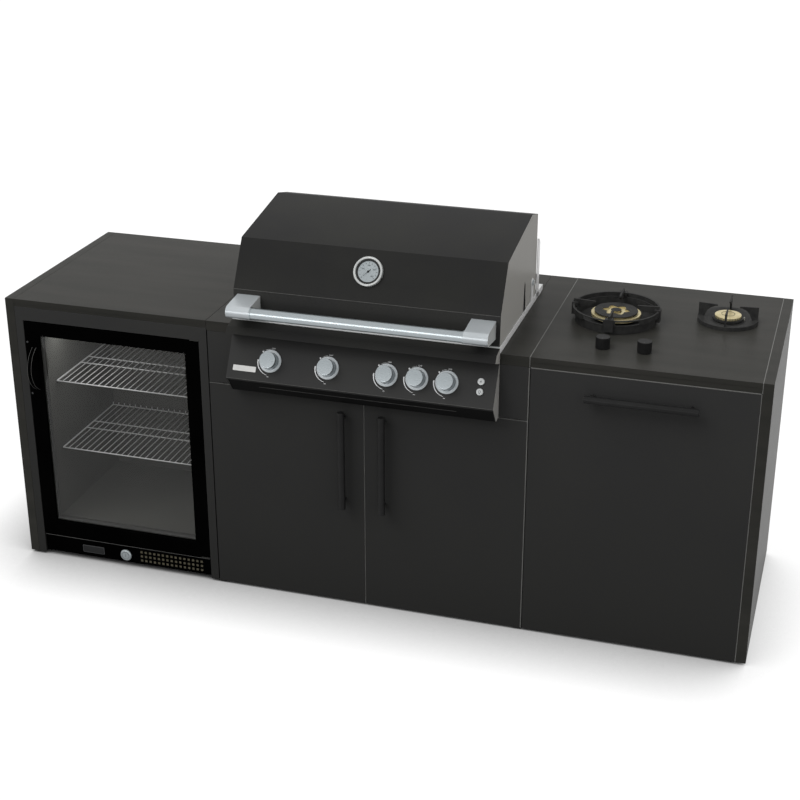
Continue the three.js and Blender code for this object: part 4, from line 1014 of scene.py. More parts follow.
@dataclass
class Assembly:
    """A sub-assembly: the pieces that it adds to the frame."""

    name: str

    def piece(
        self,
        name: str,
        mesh: Mesh,
        finish: Finish,
        body: Body,
        slot: Slot | None = None,
        bevel: float = 0.0,
        stands_for: str | None = None,
    ) -> None:
        """Adds one piece that rides on a body.

        Args:
            name: The piece's name.
            mesh: Its mesh in the row frame, which is used up.
            finish: Its finish.
            body: The body that it rides on.
            slot: The record's material slot that it belongs to; not used.
            bevel: The width of its rounded edges.
            stands_for: The CAD node that it replaces.
        """
        bmesh.ops.recalc_face_normals(mesh, faces=mesh.faces)
        obj = solid(name, mesh, finish)
        shape_up(obj, bevel, cad=False)
        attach(obj, body.value)
        if stands_for:
            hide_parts(stands_for)
        LOG.info("%s: %s", self.name, name)


@dataclass
class Carcass(Assembly):
    """The cabinets, fronts and worktops, and the pale lines in the gaps between them, which paint the
    highlight of the lit edges.
    """

    line: float = 0.0017
    proud: float = 0.00015
    sunk: Span = (0.0012, 0.008)
    depth: Span = (0.0, 0.715)
    slab_z: Span = (0.8783, 0.91)
    worktop_seams: tuple[tuple[str, float], ...] = (("gas", 1.69), ("right", 2.345))
    doors_x: Span = (1.1862, 1.188)
    doors_z: Span = (0.008, 0.706)
    door_side_x: Span = (1.6874, 1.6902)
    left_fascia_x: Span = (0.688, 0.773)
    right_fascia_x: Span = (1.602, 1.687)
    fascia_z: Span = (0.7062, 0.7074)
    gas_front_x: Span = (1.693, 2.342)
    gas_front_z: Span = (0.008, 0.875)
    over_gas_front_z: Span = (0.8754, 0.8779)
    beside_gas_front_x: Span = (2.3424, 2.3446)

    def dress_nodes(self) -> None:
        """Gives every CAD node its finish, round edges and smooth faces."""
        for name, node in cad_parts.items():
            slot = Slot(node.data.materials[0].name.split(".")[0])
            custom = node.data.attributes.get("custom_normal")
            if custom:
                node.data.attributes.remove(custom)
            node.data.materials[0] = NODE_FINISHES.get(name, SLOT_FINISHES[slot]).material()
            shape_up(node, BEVELS.get(slot, 0.0), cad=True)
            LOG.info("%s: %s in %s", self.name, name, slot.value)

    def seam(self, name: str, x: Span, y: Span, z: Span, body: Body = Body.ISLAND) -> None:
        """Adds one thin pale line, a painted highlight, that fills three spans."""
        low, high = zip(x, y, z)
        self.piece(f"seam_{name}", block(at(*low), at(*high)), SEAM_HIGHLIGHT, body)

    def seams(self) -> None:
        """Adds the pale lines that paint highlights in the gaps between the fronts and along the
        worktop's joints.
        """
        self.seam("between_doors", self.doors_x, self.sunk, self.doors_z, Body.LEFT_DOOR)
        self.seam("right_of_doors", self.door_side_x, self.sunk, self.gas_front_z)
        self.seam("over_left_door", self.left_fascia_x, self.sunk, self.fascia_z)
        self.seam("over_right_door", self.right_fascia_x, self.sunk, self.fascia_z)
        self.seam("over_gas_front", self.gas_front_x, self.sunk, self.over_gas_front_z)
        self.seam("right_of_gas_front", self.beside_gas_front_x, self.sunk, self.gas_front_z)
        front, top = self.depth[0], self.slab_z[1]
        for name, x in self.worktop_seams:
            across = (x - self.line / 2, x + self.line / 2)
            self.seam(f"worktop_{name}", across, self.depth, (top, top + self.proud))
            self.seam(f"front_{name}", across, (front - self.proud, front + self.line), self.slab_z)

    def build(self) -> None:
        """Dresses the CAD nodes and adds the seams."""
        self.dress_nodes()
        self.seams()


@dataclass
class Fridge(Assembly):
    """The fridge's small parts: display, vents, lock face, glazing spacer, shelves and painted highlights
    on the handle's edges.
    """

    print_rise: float = 0.0004
    round_steps: int = 48

    # The strip under the door
    strip_front: float = 0.004
    display_x: Span = (0.1955, 0.2735)
    display_z: Span = (0.031, 0.057)
    display_proud: float = 0.0012
    display_line: float = 0.0022
    display_corner: float = 0.0025
    vent_x: Span = (0.4, 0.635)
    vent_y: Span = (0.0052, 0.006)
    vent_z: Span = (0.024, 0.068)
    lock_ring: Span = (0.0118, 0.0132)
    key_width: float = 0.0016
    key_height: float = 0.011
    key_corner_share: float = 0.45

    # The door's glazing
    opening_x: Span = (0.106, 0.609)
    opening_z: Span = (0.135, 0.7927)
    spacer_y: Span = (0.0125, 0.026)
    spacer_width: float = 0.004

    # The shelves
    shelf_nodes: tuple[str, ...] = ("fridge_shelf_lower", "fridge_shelf_upper")
    wires: int = 25
    wire_radius: float = 0.0013
    rim_radius: float = 0.002
    cross_shares: tuple[float, ...] = (0.0, 0.45, 0.6, 1.0)
    bend_height: float = 0.008

    # The bow handle and the strip that it is screwed to
    screws_at: tuple[Point, ...] = ((0.0665, 0.592), (0.0665, 0.769))
    screw_seat: float = -0.0018
    screw_foot: float = 0.0035
    screw_top: float = 0.0028
    screw_height: float = 0.0008
    bow_x: Span = (0.0826, 0.0954)
    bow_middle: Point = (0.0367, 0.6807)
    bow_radius: float = 0.0818
    bow_turns: Span = (-63.0, 63.0)
    bow_line_radius: float = 0.0006
    bow_steps: int = 20

    def display(self) -> None:
        """Adds the display's surround and its dark screen."""
        (left, right), (low, high) = self.display_x, self.display_z
        front = self.strip_front - self.display_proud
        middle = at((left + right) / 2, front, (low + high) / 2)
        layers = (
            ("surround", SURROUND, 0.0, self.display_proud, 0.0),
            ("screen", SCREEN, 2 * self.display_line, self.print_rise, self.display_proud),
        )
        for name, finish, inset, thickness, rise in layers:
            outline = rounded(right - left - inset, high - low - inset, self.display_corner)
            mesh = moved(plate(outline, thickness), TO_FRONT.place(middle - BACK * rise))
            self.piece(f"fridge_display_{name}", mesh, finish, Body.ISLAND, Slot.BLACK_PLASTIC)

    def vent_backing(self) -> None:
        """Adds the paler plate behind the vent holes."""
        low, high = zip(self.vent_x, self.vent_y, self.vent_z)
        backing = block(at(*low), at(*high))
        self.piece("fridge_vent_backing", backing, VENT_DARK, Body.ISLAND, Slot.BLACK_PLASTIC)

    def lock_face(self) -> None:
        """Adds the key slot and its ring to the door lock."""
        edge = ring(self.lock_ring, (0.0, self.print_rise), self.round_steps)
        corner = self.key_width * self.key_corner_share
        key = plate(rounded(self.key_width, self.key_height, corner), self.print_rise)
        face = middle_of(Body.FRIDGE_LOCK.value)
        face.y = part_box(Body.FRIDGE_LOCK.value)[0].y
        marks = moved(joined([edge, key]), TO_FRONT.place(face))
        self.piece("fridge_lock_marks", marks, SIGN, Body.FRIDGE_LOCK, Slot.BLACK_PLASTIC)

    def glass_spacer(self) -> None:
        """Adds the spacer bar that runs round inside the double glazing."""
        (left, right), (low, high) = self.opening_x, self.opening_z
        front, back = self.spacer_y
        width = self.spacer_width
        bars = (
            ((left, left + width), (low, high)),
            ((right - width, right), (low, high)),
            ((left + width, right - width), (low, low + width)),
            ((left + width, right - width), (high - width, high)),
        )
        parts = [block(at(x[0], front, z[0]), at(x[1], back, z[1])) for x, z in bars]
        self.piece("fridge_glass_spacer", joined(parts), SPACER, Body.FRIDGE_DOOR, Slot.GLASS)

    def handle_screws(self) -> None:
        """Adds the two screw heads of the handle's mounting strip."""
        height = self.screw_height
        profile = [(0.0, 0.0), (self.screw_foot, 0.0), (self.screw_top, height), (0.0, height)]
        heads = []
        for x, z in self.screws_at:
            place = TO_FRONT.place(at(x, self.screw_seat, z))
            heads.append(moved(lathe(profile, self.round_steps), place))
        self.piece("fridge_handle_screws", joined(heads), SURROUND, Body.FRIDGE_DOOR, Slot.BLACK_PLASTIC)

    def shelf(self, node: str) -> None:
        """Adds a shelf of round wires whose ends turn up along its back.

        Args:
            node: The CAD shelf that it stands for.
        """
        low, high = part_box(node)
        rim, thin = self.rim_radius, self.wire_radius
        left, right = low.x + rim, high.x - rim
        front, back = low.y + rim, high.y - rim
        level = low.z + rim
        parts = []
        for x in evenly((left, right), self.wires):
            foot = Vector((x, back, level + rim))
            parts.append(rod(Vector((x, front, level + rim)), foot, thin))
            parts.append(rod(foot, foot + UP * self.bend_height, thin))
        for share in self.cross_shares:
            y = front + (back - front) * share
            parts.append(rod(Vector((left, y, level)), Vector((right, y, level)), rim))
        for x in (left, right):
            parts.append(rod(Vector((x, front, level)), Vector((x, back, level)), rim))
        mesh = joined(parts)
        self.piece(f"{node}_wires", mesh, SHELF_WIRE, Body.ISLAND, Slot.SHELF_WIRE, stands_for=node)

    def bow_edges(self) -> None:
        """Adds pale lines that paint highlights along the bow handle's edges."""
        lines = []
        for x in self.bow_x:
            points = []
            for turn in evenly(self.bow_turns, self.bow_steps + 1):
                out, up = polar(self.bow_radius, math.radians(turn))
                points.append(at(x, self.bow_middle[0] - out, self.bow_middle[1] + up))
            lines.append(wire(points, self.bow_line_radius))
        self.piece("fridge_handle_edge_highlights", joined(lines), EDGE_HIGHLIGHT, Body.FRIDGE_DOOR, Slot.BLACK_PLASTIC)

    def build(self) -> None:
        """Adds all of the fridge's small parts."""
        self.display()
        self.vent_backing()
        self.lock_face()
        self.glass_spacer()
        self.handle_screws()
        for node in self.shelf_nodes:
            self.shelf(node)
        self.bow_edges()


@dataclass(frozen=True)
class EdgeHighlight:
    """A thin pale line that paints the highlight along a level edge: its reach in x, and the edge's y and
    z.
    """

    name: str
    reach: Span
    edge: Point
    body: Body


@dataclass
class GrillShell(Assembly):
    """The pale lines that paint highlights along folded edges, and the upright plates behind the hood."""

    lines: tuple[EdgeHighlight, ...] = (
        EdgeHighlight("hood_crease_line", (0.7775, 1.5975), (0.0123, 1.018), Body.HOOD),
        EdgeHighlight("panel_nose_line", (0.7745, 1.6005), (-0.0688, 0.762), Body.ISLAND),
        EdgeHighlight("tray_front_line", (0.8723, 1.487), (-0.0481, 0.734), Body.DRIP_TRAY),
        EdgeHighlight("fridge_strip_line", (0.0605, 0.6545), (0.0032, 0.0764), Body.ISLAND),
    )
    line_radius: float = 0.0008
    upright_x: tuple[Span, ...] = ((0.7735, 0.7757), (1.5993, 1.6015))
    upright_outline: Outline = (
        (0.479, 0.912), (0.512, 0.912), (0.512, 1.085), (0.504, 1.1), (0.479, 1.108),
    )
    upright_bevel: float = 0.0003

    def edge_highlights(self) -> None:
        """Adds the painted highlight lines."""
        for line in self.lines:
            mesh = wire([at(x, *line.edge) for x in line.reach], self.line_radius)
            self.piece(line.name, mesh, EDGE_HIGHLIGHT, line.body, Slot.BLACK_STEEL)

    def uprights(self) -> None:
        """Adds the upright plates at both ends of the rear burner."""
        parts = []
        for low, high in self.upright_x:
            side = plate(self.upright_outline, high - low)
            parts.append(moved(side, TO_RIGHT.place(at(low, 0.0, 0.0))))
        self.piece(
            "grill_back_uprights", joined(parts), FLANGE_METAL, Body.ISLAND, Slot.STAINLESS,
            bevel=self.upright_bevel,
        )

    def build(self) -> None:
        """Adds the painted highlight lines and the plates."""
        self.edge_highlights()
        self.uprights()


@dataclass
class Thermometer(Assembly):
    """The hood's thermometer: a silver rim, a black ring and a pale dial with a needle."""

    # Where it sits: how far up the hood's sloping face from the fold, and the slope's direction
    fold: Place = (1.1875, 0.012, 1.018)
    climb: Place = (0.0, 0.079, 0.1375)
    along: float = 0.091

    # The rim and the stem through the hood
    seat: float = 0.0003
    radius: float = 0.045
    inner_radius: float = 0.0375
    height: float = 0.01
    lip: float = 0.003
    stem_radius: float = 0.005
    stem_length: float = 0.03

    # The dial
    base: float = 0.004
    black: Span = (0.0315, 0.0375)
    black_rise: float = 0.0015
    print_rise: float = 0.0002
    scale_turns: Span = (225.0, -45.0)
    ticks: int = 13
    tick_reach: Span = (0.0235, 0.028)
    tick_width: float = 0.0009
    numbers: tuple[str, ...] = ("0", "100", "200", "300", "400")
    number_reach: float = 0.0185
    number_size: float = 0.006
    needle_turn: float = 227.0
    needle_reach: Span = (-0.0095, 0.019)
    needle_half: float = 0.0013
    needle_rise: float = 0.0012
    hub_radius: float = 0.0034

    def place(self, rise: float) -> Matrix:
        """Places a drawing on the hood's sloping face.

        Args:
            rise: How far it stands off the face.

        Returns:
            The matrix that carries it there.
        """
        climb = Vector(self.climb).normalized()
        out = RIGHT.cross(climb)
        return Face(RIGHT, climb).place(at(*self.fold) + climb * self.along + out * rise)

    def rim(self) -> None:
        """Adds the rim and its stem in one piece, in place of the CAD node."""
        outer, inner, top, lip = self.radius, self.inner_radius, self.height, self.lip
        third = lip / 3
        profile = [
            (0.0, -self.stem_length),
            (self.stem_radius, -self.stem_length),
            (self.stem_radius, self.seat),
            (outer, self.seat),
            (outer, top - lip),
            (outer - third, top - third),
            (outer - lip, top),
            (inner + lip, top),
            (inner + third, top - third),
            (inner, top - lip),
            (inner, self.base),
            (0.0, self.base),
        ]
        mesh = moved(lathe(profile), self.place(0.0))
        self.piece("thermometer_rim", mesh, DIAL_RIM, Body.HOOD, Slot.DIAL, stands_for="hood_thermometer")

    def dial(self) -> None:
        """Adds the black ring and the pale face inside it."""
        black = ring(self.black, (self.base, self.base + self.black_rise))
        mesh = moved(black, self.place(0.0))
        self.piece("thermometer_black_ring", mesh, DIAL_RING, Body.HOOD, Slot.BLACK_PLASTIC)
        face = ring((0.0, self.black[0]), (self.base, self.base + self.print_rise))
        self.piece("thermometer_face", moved(face, self.place(0.0)), DIAL, Body.HOOD, Slot.DIAL)

    def marks(self) -> None:
        """Adds the ticks and the numbers."""
        (near, far), half = self.tick_reach, self.tick_width / 2
        parts = []
        for turn in evenly(self.scale_turns, self.ticks):
            tick = plate([(near, -half), (far, -half), (far, half), (near, half)], self.print_rise)
            parts.append(moved(tick, Matrix.Rotation(math.radians(turn), 4, "Z")))
        for number, turn in zip(self.numbers, evenly(self.scale_turns, len(self.numbers))):
            middle = (*polar(self.number_reach, math.radians(turn)), 0.0)
            digits = lettering(number, self.number_size, self.print_rise)
            parts.append(moved(digits, Matrix.Translation(middle)))
        mesh = moved(joined(parts), self.place(self.base + self.print_rise))
        self.piece("thermometer_marks", mesh, INK_AND_SHADE, Body.HOOD, Slot.DIAL)

    def needle(self) -> None:
        """Adds the needle on its hub."""
        (tail, tip), half = self.needle_reach, self.needle_half
        arrow = plate([(tail, -half), (tip, 0.0), (tail, half)], self.print_rise)
        lifted = Matrix.Translation((0.0, 0.0, self.needle_rise - self.print_rise))
        turned = Matrix.Rotation(math.radians(self.needle_turn), 4, "Z")
        hub = ring((0.0, self.hub_radius), (0.0, self.needle_rise))
        both = joined([moved(arrow, turned @ lifted), hub])
        mesh = moved(both, self.place(self.base + self.print_rise))
        self.piece("thermometer_needle", mesh, INK_AND_SHADE, Body.HOOD, Slot.DIAL)

    def build(self) -> None:
        """Adds the thermometer's pieces from the hood outwards."""
        self.rim()
        self.dial()
        self.marks()
        self.needle()


@dataclass
class HoodHandle(Assembly):
    """The hood's handle: a smooth tube with a collar at each bracket."""

    bar: str = "hood_handle_bar"
    left_bracket: str = "hood_handle_bracket_left"
    right_bracket: str = "hood_handle_bracket_right"
    wall: float = 0.002
    collar_proud: float = 0.0017
    collar_width: float = 0.004
    collar_bevel: float = 0.0005

    def build(self) -> None:
        """Adds the tube in place of the CAD node, and its two collars."""
        low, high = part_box(self.bar)
        radius = (high.z - low.z) / 2
        axis = middle_of(self.bar)
        tube = ring((radius - self.wall, radius), (0.0, high.x - low.x))
        tube = moved(tube, TO_RIGHT.place(Vector((low.x, axis.y, axis.z))))
        self.piece(
            "hood_handle_tube", tube, SATIN_METAL, Body.HOOD, Slot.STAINLESS, stands_for=self.bar,
        )
        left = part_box(self.left_bracket)[1].x
        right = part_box(self.right_bracket)[0].x - self.collar_width
        collars = []
        for x in (left, right):
            collar = ring((radius, radius + self.collar_proud), (0.0, self.collar_width))
            collars.append(moved(collar, TO_RIGHT.place(Vector((x, axis.y, axis.z)))))
        self.piece(
            "hood_handle_collars", joined(collars), SATIN_METAL, Body.HOOD, Slot.STAINLESS,
            bevel=self.collar_bevel,
        )


@dataclass
class ControlPanel(Assembly):
    """The grill's knobs, their rings and marks, the two buttons' signs and the bare label plate."""

    # The panel's sloping face runs down from its top edge to its nose
    top: Place = (1.1875, -0.004, 0.8777)
    nose: Point = (-0.069, 0.762)
    seat: float = 0.0003
    print_rise: float = 0.0002

    # The knobs and the rings round them
    knobs: tuple[Body, ...] = (
        Body.GRILL_KNOB_1, Body.GRILL_KNOB_2, Body.GRILL_KNOB_3, Body.GRILL_KNOB_4, Body.GRILL_KNOB_5,
    )
    knob_down: float = 0.0688
    knob_skirt: float = 0.026
    knob_radius: float = 0.025
    knob_height: float = 0.032
    knob_lift: float = 0.004
    chamfer: float = 0.0015
    chamfer_share: float = 0.3
    bore: float = 0.0043
    bore_top: float = 0.0163
    ring_inner: float = 0.0266
    ring_outer: float = 0.0345
    ring_rise: float = 0.0046
    ring_lip: float = 0.001

    # The marks round each knob: angles in degrees, and how far from its middle
    arc_turns: Span = (178.0, 262.0)
    arc_inner: Span = (0.0375, 0.0425)
    arc_outer: Span = (0.0415, 0.0433)
    arc_steps: int = 24
    dash_turns: Span = (98.0, 122.0)
    dash: Span = (0.0368, 0.0375)
    word_turn: float = 84.0
    word_reach: float = 0.0385
    word_size: float = 0.0068
    flame_turn: float = 135.0
    flame_reach: float = 0.0385
    flame: float = 0.003
    flame_shares: Outline = ((-0.5, -1.0), (0.5, -1.0), (1.0, 0.0), (0.0, 1.0), (-1.0, 0.0))
    low_turn: float = 267.0
    low_reach: float = 0.0475
    low_width: float = 0.006
    low_height: float = 0.0012

    # The signs on the two buttons
    button_down: Span = (0.0555, 0.0855)
    button_top: float = 0.005
    sign: float = 0.0035
    spark_shares: Outline = (
        (0.2, 1.4), (-1.0, -0.2), (-0.1, -0.2), (-0.3, -1.4), (1.0, 0.3), (0.1, 0.3),
    )
    lamp_shares: Span = (0.75, 1.1)
    lamp_turns: Span = (0.0, 359.0)
    lamp_foot_shares: Outline = ((-0.5, -1.7), (0.5, -1.7), (0.5, -1.2), (-0.5, -1.2))

    # The label plate
    label_x: Span = (0.792, 0.865)
    label_down: Span = (0.091, 0.1077)
    label_thick: float = 0.001
    label_corner: float = 0.0015

    def place(self, x: float, down: float, rise: float) -> Matrix:
        """Places a drawing on the panel's face.

        Args:
            x: Where its middle goes, from the island's left end.
            down: How far below the face's top edge it goes.
            rise: How far it stands off the face.

        Returns:
            The matrix that carries it there.
        """
        climb = Vector((0.0, self.top[1] - self.nose[0], self.top[2] - self.nose[1])).normalized()
        out = RIGHT.cross(climb)
        origin = at(x, self.top[1], self.top[2]) - climb * down + out * rise
        return Face(RIGHT, climb).place(origin)

    def knob(self) -> Mesh:
        """Builds one knob, hollow for the valve's stem.

        Returns:
            The knob.
        """
        radius, height, chamfer = self.knob_radius, self.knob_height, self.chamfer
        part = chamfer * self.chamfer_share
        profile = [
            (self.bore, self.seat),
            (self.knob_skirt, self.seat),
            (self.knob_skirt, self.knob_lift),
            (radius, height - chamfer),
            (radius - part, height - part),
            (radius - chamfer, height),
            (0.0, height),
            (0.0, self.bore_top),
            (self.bore, self.bore_top),
        ]
        mesh = lathe(profile)
        bmesh.ops.remove_doubles(mesh, verts=mesh.verts, dist=WELD)
        return mesh

    def knob_ring(self) -> Mesh:
        """Builds the ring round one knob.

        Returns:
            The ring.
        """
        inner, outer, top, lip = self.ring_inner, self.ring_outer, self.ring_rise, self.ring_lip
        profile = [
            (inner, self.seat),
            (outer, self.seat),
            (outer, top - lip),
            (outer - lip, top),
            (inner, top),
        ]
        return lathe(profile)

    def marks(self) -> Mesh:
        """Builds the printed marks round one knob.

        Returns:
            The marks.
        """
        rise = self.print_rise
        near, far = self.dash
        parts = [
            band(self.arc_inner, self.arc_outer, self.arc_turns, self.arc_steps, rise),
            band((near, near), (far, far), self.dash_turns, self.arc_steps, rise),
        ]
        low = rounded(self.low_width, self.low_height, self.low_height / 3)
        around = (
            (lettering("OFF", self.word_size, rise), self.word_reach, self.word_turn),
            (plate(scaled(self.flame_shares, self.flame), rise), self.flame_reach, self.flame_turn),
            (plate(low, rise), self.low_reach, self.low_turn),
        )
        for mesh, reach, turn in around:
            middle = (*polar(reach, math.radians(turn)), 0.0)
            parts.append(moved(mesh, Matrix.Translation(middle)))
        return joined(parts)

    def knob_set(self, body: Body) -> None:
        """Adds a smooth knob, its ring and its marks.

        Args:
            body: The knob's body, whose one CAD node has the same name.
        """
        node = body.value
        face = self.place((middle_of(node) - ISLAND_CORNER).x, self.knob_down, 0.0)
        self.piece(
            f"{node}_turned", moved(self.knob(), face), SATIN_METAL, body, Slot.SATIN_METAL,
            stands_for=node,
        )
        around = (("ring", self.knob_ring(), BRIGHT_METAL), ("marks", self.marks(), PRINT))
        for name, mesh, finish in around:
            self.piece(f"{node}_{name}", moved(mesh, face), finish, Body.ISLAND, Slot.SATIN_METAL)

    def signs(self) -> None:
        """Adds a spark sign and a lamp sign to the two buttons."""
        size, rise = self.sign, self.print_rise
        spark = plate(scaled(self.spark_shares, size), rise)
        near, far = (share * size for share in self.lamp_shares)
        bulb = band((near, near), (far, far), self.lamp_turns, self.arc_steps, rise)
        lamp = joined([bulb, plate(scaled(self.lamp_foot_shares, size), rise)])
        signs = ((spark, Body.IGNITER), (lamp, Body.LIGHT))
        for (mesh, body), down in zip(signs, self.button_down):
            place = self.place((middle_of(body.value) - ISLAND_CORNER).x, down, self.button_top)
            self.piece(f"{body.value}_sign", moved(mesh, place), SIGN, body, Slot.SATIN_METAL)

    def label(self) -> None:
        """Adds the label plate, left bare."""
        (left, right), (high, low) = self.label_x, self.label_down
        mesh = plate(rounded(right - left, low - high, self.label_corner), self.label_thick)
        place = self.place((left + right) / 2, (high + low) / 2, 0.0)
        self.piece("panel_label_plate", moved(mesh, place), LABEL, Body.ISLAND, Slot.STAINLESS)

    def build(self) -> None:
        """Adds the knobs, the buttons' signs and the label plate."""
        for body in self.knobs:
            self.knob_set(body)
        self.signs()
        self.label()


@dataclass(frozen=True)
class PortRing:
    """A ring of flame ports round a burner's node: a port's size runs outwards, across and up."""

    name: str
    burner: str
    radius: float
    height: float
    size: Place
    count: int


@dataclass
class Hob(Assembly):
    """The hob's small parts: finer burner caps, flame ports painted as dark marks of shade, and the two
    black knobs.
    """

    print_rise: float = 0.0002
    worktop: str = "worktop_right"
    wok: str = "wok_burner"
    small: str = "small_burner_cap"
    port_rings: tuple[PortRing, ...] = (
        PortRing("wok_burner_ports", "wok_burner", 0.0635, 0.0245, (0.007, 0.0012, 0.0014), 40),
        PortRing("small_burner_ports", "small_burner_cap", 0.0396, 0.0175, (0.0008, 0.0013, 0.004), 28),
    )

    # The knobs
    knobs: tuple[Body, ...] = (Body.HOB_KNOB_LEFT, Body.HOB_KNOB_RIGHT)
    knob_clearance: float = 0.0004
    knob_bevel: float = 0.0015
    flutes: int = 24
    flute_depth: float = 0.0006
    flute_points: int = 4
    pointer_width: float = 0.0015
    pointer_length: float = 0.009

    # The wok burner's cap: radii, and levels over the worktop
    disc_radius: float = 0.0655
    disc_z: Span = (0.0303, 0.0328)
    star: Span = (0.029, 0.0425)
    star_z: Span = (0.0257, 0.0312)
    star_tips: int = 6
    star_wall: float = 0.0012
    neck: Span = (0.0435, 0.056)
    neck_z: Span = (0.0256, 0.0303)
    star_floor: Span = (0.0162, 0.043)
    star_floor_z: Span = (0.0257, 0.0272)
    centre: Span = (0.0, 0.016)
    centre_z: Span = (0.0331, 0.0338)

    # The small burner's collar, its spark pin and the groove on its crown
    collar: Span = (0.0403, 0.046)
    collar_z: Span = (0.008, 0.0135)
    pin_radius: float = 0.0022
    pin_out: float = 0.0485
    pin_z: Span = (0.006, 0.017)
    pin_steps: int = 24
    groove: Span = (0.019, 0.0204)
    crown_z: float = 0.0232

    def over(self, node: str) -> Vector:
        """Finds the point of the worktop's top over a CAD node's middle.

        Args:
            node: The node's name.

        Returns:
            The point, in the row frame.
        """
        spot = middle_of(node)
        spot.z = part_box(self.worktop)[1].z
        return spot

    def knob(self, body: Body) -> None:
        """Adds a fluted knob with a pointer.

        Args:
            body: The knob's body, whose one CAD node has the same name.
        """
        node = body.value
        low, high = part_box(node)
        radius = (high.x - low.x) / 2
        foot = self.over(node) + UP * self.knob_clearance
        count = self.flutes * self.flute_points
        outline = []
        for i in range(count):
            depth = self.flute_depth if i % self.flute_points < self.flute_points / 2 else 0.0
            outline.append(polar(radius - depth, TURN * i / count))
        grip = moved(plate(outline, high.z - foot.z), LEVEL.place(foot))
        self.piece(
            f"{node}_grip", grip, KNOB_BLACK, body, Slot.BLACK_PLASTIC,
            bevel=self.knob_bevel, stands_for=node,
        )
        width, length = self.pointer_width, self.pointer_length
        mark = plate(rounded(width, length, width / 3), self.print_rise)
        place = LEVEL.place(Vector((foot.x, foot.y - radius + length, high.z)))
        self.piece(f"{node}_pointer", moved(mark, place), POINTER, body, Slot.BLACK_PLASTIC)

    def star_reach(self, turn: float) -> float:
        """Finds how far the star-shaped opening reaches at an angle.

        Args:
            turn: The angle round the burner's axis, as a share of a full turn.

        Returns:
            The opening's radius there.
        """
        inner, outer = self.star
        # One at each tip, falling to zero midway between two tips
        share = abs(turn * self.star_tips % 1 * 2 - 1)
        return inner + (outer - inner) * share

    def wok_cap(self) -> None:
        """Adds the wok burner's thin disc with its star, the brass under it and the centre disc."""
        place = LEVEL.place(self.over(self.wok))
        star = [self.star_reach(step / ROUND_STEPS) for step in range(ROUND_STEPS)]
        disc = pierced([self.disc_radius] * ROUND_STEPS, star, self.disc_z)
        self.piece(
            "wok_burner_disc", moved(disc, place), CAST_IRON, Body.ISLAND, Slot.CAST_IRON,
            stands_for="wok_burner_cap",
        )
        wall = pierced(star, [reach - self.star_wall for reach in star], self.star_z)
        neck = ring(self.neck, self.neck_z)
        floor = ring(self.star_floor, self.star_floor_z)
        brass = moved(joined([wall, neck, floor]), place)
        self.piece("wok_burner_star", brass, BRASS, Body.ISLAND, Slot.BRASS)
        centre = moved(ring(self.centre, self.centre_z), place)
        self.piece("wok_burner_centre", centre, CAST_IRON, Body.ISLAND, Slot.CAST_IRON)

    def small_cap(self) -> None:
        """Adds the dark collar round the small burner's cap and its spark pin."""
        middle = self.over(self.small)
        collar = moved(ring(self.collar, self.collar_z), LEVEL.place(middle))
        self.piece("small_burner_collar", collar, CAST_IRON, Body.ISLAND, Slot.CAST_IRON)
        foot, top = (middle + RIGHT * self.pin_out + UP * z for z in self.pin_z)
        pin = rod(foot, top, self.pin_radius, self.pin_steps)
        self.piece("small_burner_pin", pin, CERAMIC, Body.ISLAND, Slot.BRASS)

    def port_ring(self, ports: PortRing) -> None:
        """Adds a ring of flame ports, painted as dark marks that stand for the shade inside them.

        Args:
            ports: The ring.
        """
        middle = Vector((ports.radius, 0.0, ports.height))
        half = Vector(ports.size) / 2
        parts = []
        for i in range(ports.count):
            turned = Matrix.Rotation(TURN * i / ports.count, 4, "Z")
            parts.append(moved(block(middle - half, middle + half), turned))
        mesh = moved(joined(parts), LEVEL.place(self.over(ports.burner)))
        self.piece(ports.name, mesh, INK_AND_SHADE, Body.ISLAND, Slot.BRASS)

    def crown_groove(self) -> None:
        """Adds the small burner's crown groove as a dark ring of painted shade."""
        place = LEVEL.place(self.over(self.small) + UP * self.crown_z)
        groove = moved(ring(self.groove, (0.0, self.print_rise)), place)
        self.piece("small_burner_groove", groove, INK_AND_SHADE, Body.ISLAND, Slot.BRASS)

    def build(self) -> None:
        """Adds the knobs, the caps, the flame ports and the small cap's groove."""
        for body in self.knobs:
            self.knob(body)
        self.wok_cap()
        self.small_cap()
        for ports in self.port_rings:
            self.port_ring(ports)
        self.crown_groove()


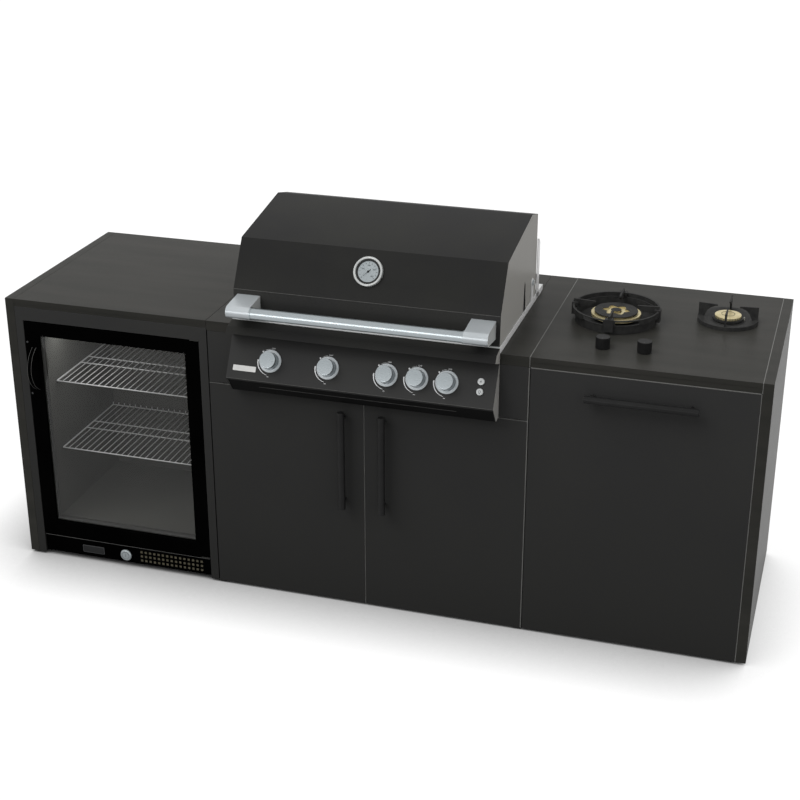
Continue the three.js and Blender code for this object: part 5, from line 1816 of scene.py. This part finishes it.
@dataclass
class Studio:
    """The floor, the lights, the white surroundings and the camera."""

    floor_half: float = 40.0
    floor_cells: int = 24
    sky_light: float = 0.72
    seen_light: float = 1.0
    sun_light: float = 1.15
    sun_angle: float = 40.0
    sun_from: Place = (-0.55, -0.45, 0.9)
    gleam_light: float = 0.5
    gleam_angle: float = 22.0
    gleam_from: Place = (-0.3, -0.94, 0.17)
    fridge_light: float = 0.5
    fridge_light_size: Point = (0.2, 0.03)
    fridge_light_at: Place = (0.23, 0.12, 0.79)
    camera_at: Place = (1.3604, -4.3809, 2.5962)
    camera_pitch: float = 66.273
    camera_yaw: float = 17.038
    lens: float = 70.414
    sensor: float = 36.0

    def floor(self) -> None:
        """Adds the pale floor, which isn't part of the object."""
        mesh = bmesh.new()
        cells = self.floor_cells
        bmesh.ops.create_grid(mesh, x_segments=cells, y_segments=cells, size=self.floor_half)
        solid("studio_floor", mesh, STUDIO_FLOOR)
        LOG.info("studio: studio_floor")

    def surroundings(self) -> None:
        """Makes the world white to the eye and soft as a light."""
        world = bpy.data.worlds.new("studio_world")
        world.use_nodes = True
        graph = Graph(world.node_tree)
        strength = graph.spread(graph.seen(), WHOLE, (self.sky_light, self.seen_light))
        light = graph.add("ShaderNodeBackground", {"Color": WHITE, "Strength": strength})
        graph.add("ShaderNodeOutputWorld", {"Surface": light.outputs["Background"]})
        bpy.context.scene.world = world

    def sun(self, name: str, energy: float, angle: float, source: Place) -> bpy.types.Object:
        """Adds a broad, far lamp.

        Args:
            name: Its name.
            energy: Its strength.
            angle: How broad it looks, in degrees.
            source: The direction that it shines from.

        Returns:
            The lamp.
        """
        lamp = bpy.data.lights.new(name, "SUN")
        lamp.energy = energy
        lamp.angle = math.radians(angle)
        obj = shown(name, lamp)
        obj.rotation_mode = "QUATERNION"
        obj.rotation_quaternion = Vector(source).to_track_quat("Z", "Y")
        return obj

    def suns(self) -> None:
        """Adds a soft lamp high on the left, and a low one in front that only metal mirrors."""
        high = self.sun("studio_sun", self.sun_light, self.sun_angle, self.sun_from)
        high.visible_glossy = False
        low = self.sun("studio_gleam", self.gleam_light, self.gleam_angle, self.gleam_from)
        low.visible_diffuse = False

    def fridge_lamp(self) -> None:
        """Adds the faint lamp under the fridge's ceiling."""
        lamp = bpy.data.lights.new("fridge_lamp", "AREA")
        lamp.energy = self.fridge_light
        lamp.shape = "RECTANGLE"
        lamp.size, lamp.size_y = self.fridge_light_size
        shown("fridge_lamp", lamp).location = at(*self.fridge_light_at)

    def camera(self) -> None:
        """Adds the camera at the photograph's viewing angle."""
        data = bpy.data.cameras.new("studio_camera")
        data.lens = self.lens
        data.sensor_width = self.sensor
        obj = shown("studio_camera", data)
        obj.location = self.camera_at
        obj.rotation_euler = (math.radians(self.camera_pitch), 0.0, math.radians(self.camera_yaw))
        bpy.context.scene.camera = obj

    def build(self) -> None:
        """Adds the whole studio."""
        self.floor()
        self.surroundings()
        self.suns()
        self.fridge_lamp()
        self.camera()
        bpy.context.scene.view_settings.view_transform = "Standard"


def main() -> None:
    """Builds the scene, one sub-assembly after another."""
    logging.basicConfig(level=logging.INFO, format="%(message)s")
    Carcass("carcass").build()
    Fridge("fridge").build()
    GrillShell("grill_shell").build()
    Thermometer("thermometer").build()
    HoodHandle("hood_handle").build()
    ControlPanel("control_panel").build()
    Hob("hob").build()
    Studio().build()


if __name__ == "__main__":
    main()
